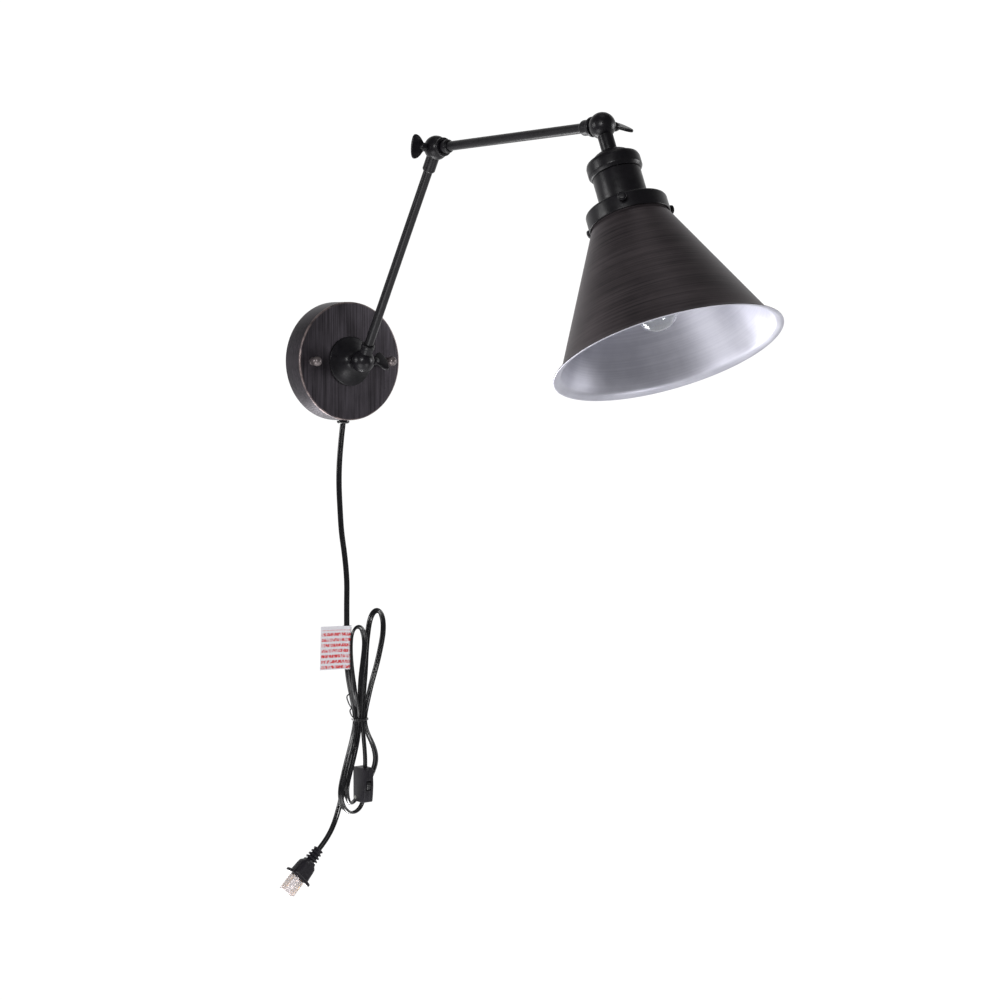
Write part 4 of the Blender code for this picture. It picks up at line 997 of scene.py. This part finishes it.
def plug():
    """The moulded plug with its ribbed strain relief, and the clear cover over its blades."""
    pieces = []
    sections = [(0.0, 3.6, 2.8, 2.2), (0.3, 4.4, 3.4, 2.2)]
    for rib in range(4):
        start = 0.4 + 3.8 * rib
        wide = 5.4 + 0.45 * rib
        deep = wide - 1.3
        sections += [(start, wide - 0.5, deep - 0.5, 2.6), (start + 0.3, wide, deep, 2.6)]
        sections += [(start + 1.9, wide, deep, 2.6), (start + 2.2, wide - 0.5, deep - 0.5, 2.6)]
        sections += [(start + 2.4, 4.3, 3.5, 2.4), (start + 3.6, 4.4, 3.6, 2.4)]
    sections += [(15.4, 6.0, 5.2, 3.0), (15.8, 6.4, 5.5, 3.2), (17.6, 6.7, 5.6, 3.2)]
    sections += [(18.8, 8.0, 5.9, 3.4), (20.2, 9.2, 6.2, 3.8), (24.0, 9.6, 6.5, 4.0)]
    sections += [(30.0, 10.0, 6.7, 4.2), (33.4, 10.4, 6.8, 4.2), (34.0, 11.4, 7.0, 4.2)]
    sections += [(34.2, 13.6, 7.4, 4.2)]
    sections += [(34.8, 14.6, 7.7, 4.4), (37.0, 14.6, 7.7, 4.4), (37.5, 14.1, 7.3, 4.4)]
    pieces.append(dress("plug_body", shaped("plug", loft(sections)), PLUG, CASE))
    for side, word in ((-1, "left"), (1, "right")):
        x = side * 6.35
        tab = [(-3.2, 37.8), (3.2, 37.8), (3.2, 52.6), (2.4, 54.0), (-2.4, 54.0), (-3.2, 52.6)]
        blade = prism(tab, x - 0.75, x + 0.75)
        blade.transform(Matrix(((0, 0, 1), (1, 0, 0), (0, 1, 0))).to_4x4())  # X to Y, Y to Z
        hole = rod_x(1.6, x - 3, x + 3, 24)
        hole.transform(Matrix.Translation((0, 0, 0.0505)))
        thing = shaped("blade", blade, [("DIFFERENCE", hole)])
        pieces.append(dress("plug_blade_" + word, thing, PLUG, BRASS))
    outer = prism(superellipse(8.2, 4.4, 5.0, 64), 38.0, 56.2)
    inner = prism(superellipse(7.5, 3.7, 5.0, 64), 30.0, 55.5)
    cover = shaped("cover", outer, [("DIFFERENCE", inner)])
    pieces.append(dress("blade_cover", cover, PLUG, COVER))
    return pieces


# stage


def stage():
    """A pale floor well below the lamp, a white world and soft area lights."""
    floor = shaped("floor", lathe([(0.0, -1.0), (2600.0, -1.0), (2600.0, 0.0), (0.0, 0.0)], 128))
    floor.location = (0.0, -0.3, -1.45)
    white = (1.0, 1.0, 1.0, 1.0)
    paint = Paint("floor_paint", Roughness=0.7, Emission_Color=white, Emission_Strength=0.22)
    paint.colour(paint.ramp(paint.grain((3, 3, 3), 4), linear(240, 240, 240), linear(248, 248, 248)))
    floor.data.materials.append(paint.material)

    world = bpy.data.worlds.new("studio")
    bpy.context.scene.world = world
    world.use_nodes = True
    tree = world.node_tree
    backdrop = tree.nodes["Background"]
    backdrop.inputs["Color"].default_value = white
    spot = tree.nodes.new("ShaderNodeTexCoord")
    behind = tree.nodes.new("ShaderNodeVectorMath")
    behind.operation = "DOT_PRODUCT"
    behind.inputs[1].default_value = (0.603, 0.795, -0.4)
    tree.links.new(spot.outputs["Generated"], behind.inputs[0])
    glow = tree.nodes.new("ShaderNodeMapRange")
    glow.interpolation_type = "SMOOTHSTEP"
    glow.inputs["From Min"].default_value = -0.1
    glow.inputs["From Max"].default_value = 0.95
    glow.inputs["To Min"].default_value = 0.1
    glow.inputs["To Max"].default_value = 0.9
    tree.links.new(behind.outputs["Value"], glow.inputs["Value"])
    ray = tree.nodes.new("ShaderNodeLightPath")
    seen = tree.nodes.new("ShaderNodeMath")
    seen.operation = "MAXIMUM"
    tree.links.new(ray.outputs["Is Camera Ray"], seen.inputs[0])
    tree.links.new(ray.outputs["Is Transmission Ray"], seen.inputs[1])
    level = tree.nodes.new("ShaderNodeMapRange")
    level.inputs["To Max"].default_value = 1.05
    tree.links.new(seen.outputs[0], level.inputs["Value"])
    tree.links.new(glow.outputs["Result"], level.inputs["To Min"])
    tree.links.new(level.outputs["Result"], backdrop.inputs["Strength"])

    target = Vector((0.0, -0.25, -0.05))
    lamps = [
        ("left", (-1.9, 0.5, 0.3), 0.8, 10.0),
        ("right", (1.75, -1.1, 0.22), 0.8, 11.0),
        ("front", (-1.7, -1.7, 0.7), 0.6, 15.0),
        ("low_right", (0.35, -1.7, -1.2), 0.35, 4.0),
        ("top", (-0.1, -0.5, 1.9), 0.8, 1.0),
        ("below_left", (-1.1, -0.5, -1.1), 0.9, 5.5),
        ("below_back", (0.0, 0.7, -1.2), 0.8, 16.0),
    ]
    for name, place, size, power in lamps:
        data = bpy.data.lights.new(name, "AREA")
        data.shape = "DISK"
        data.size = size
        data.energy = power
        lamp = bpy.data.objects.new(name, data)
        lamp.location = place
        lamp.rotation_euler = (target - Vector(place)).to_track_quat("-Z", "Y").to_euler()
        bpy.context.scene.collection.objects.link(lamp)
    bpy.context.scene.view_settings.view_transform = "Standard"


def camera():
    """The camera stands to the left and level with the lamp, and looks a little down."""
    data = bpy.data.cameras.new("camera")
    data.sensor_width = 36.0
    data.lens = 76.8
    data.clip_start = 0.05
    data.clip_end = 30.0
    eye = bpy.data.objects.new("camera", data)
    eye.location = (-1.18869, -1.84513, 0.00523)
    eye.rotation_euler = (radians(86.14), 0.0, radians(-37.18))
    bpy.context.scene.collection.objects.link(eye)
    bpy.context.scene.camera = eye


camera()
flex, cord_path, cord_length = cord()
on_cord = [*tie(), tag(), *switch(), *plug()]
wall_side()
arms()
head()
bulb()
finish_node("wall_bracket", ZINC)
stage()
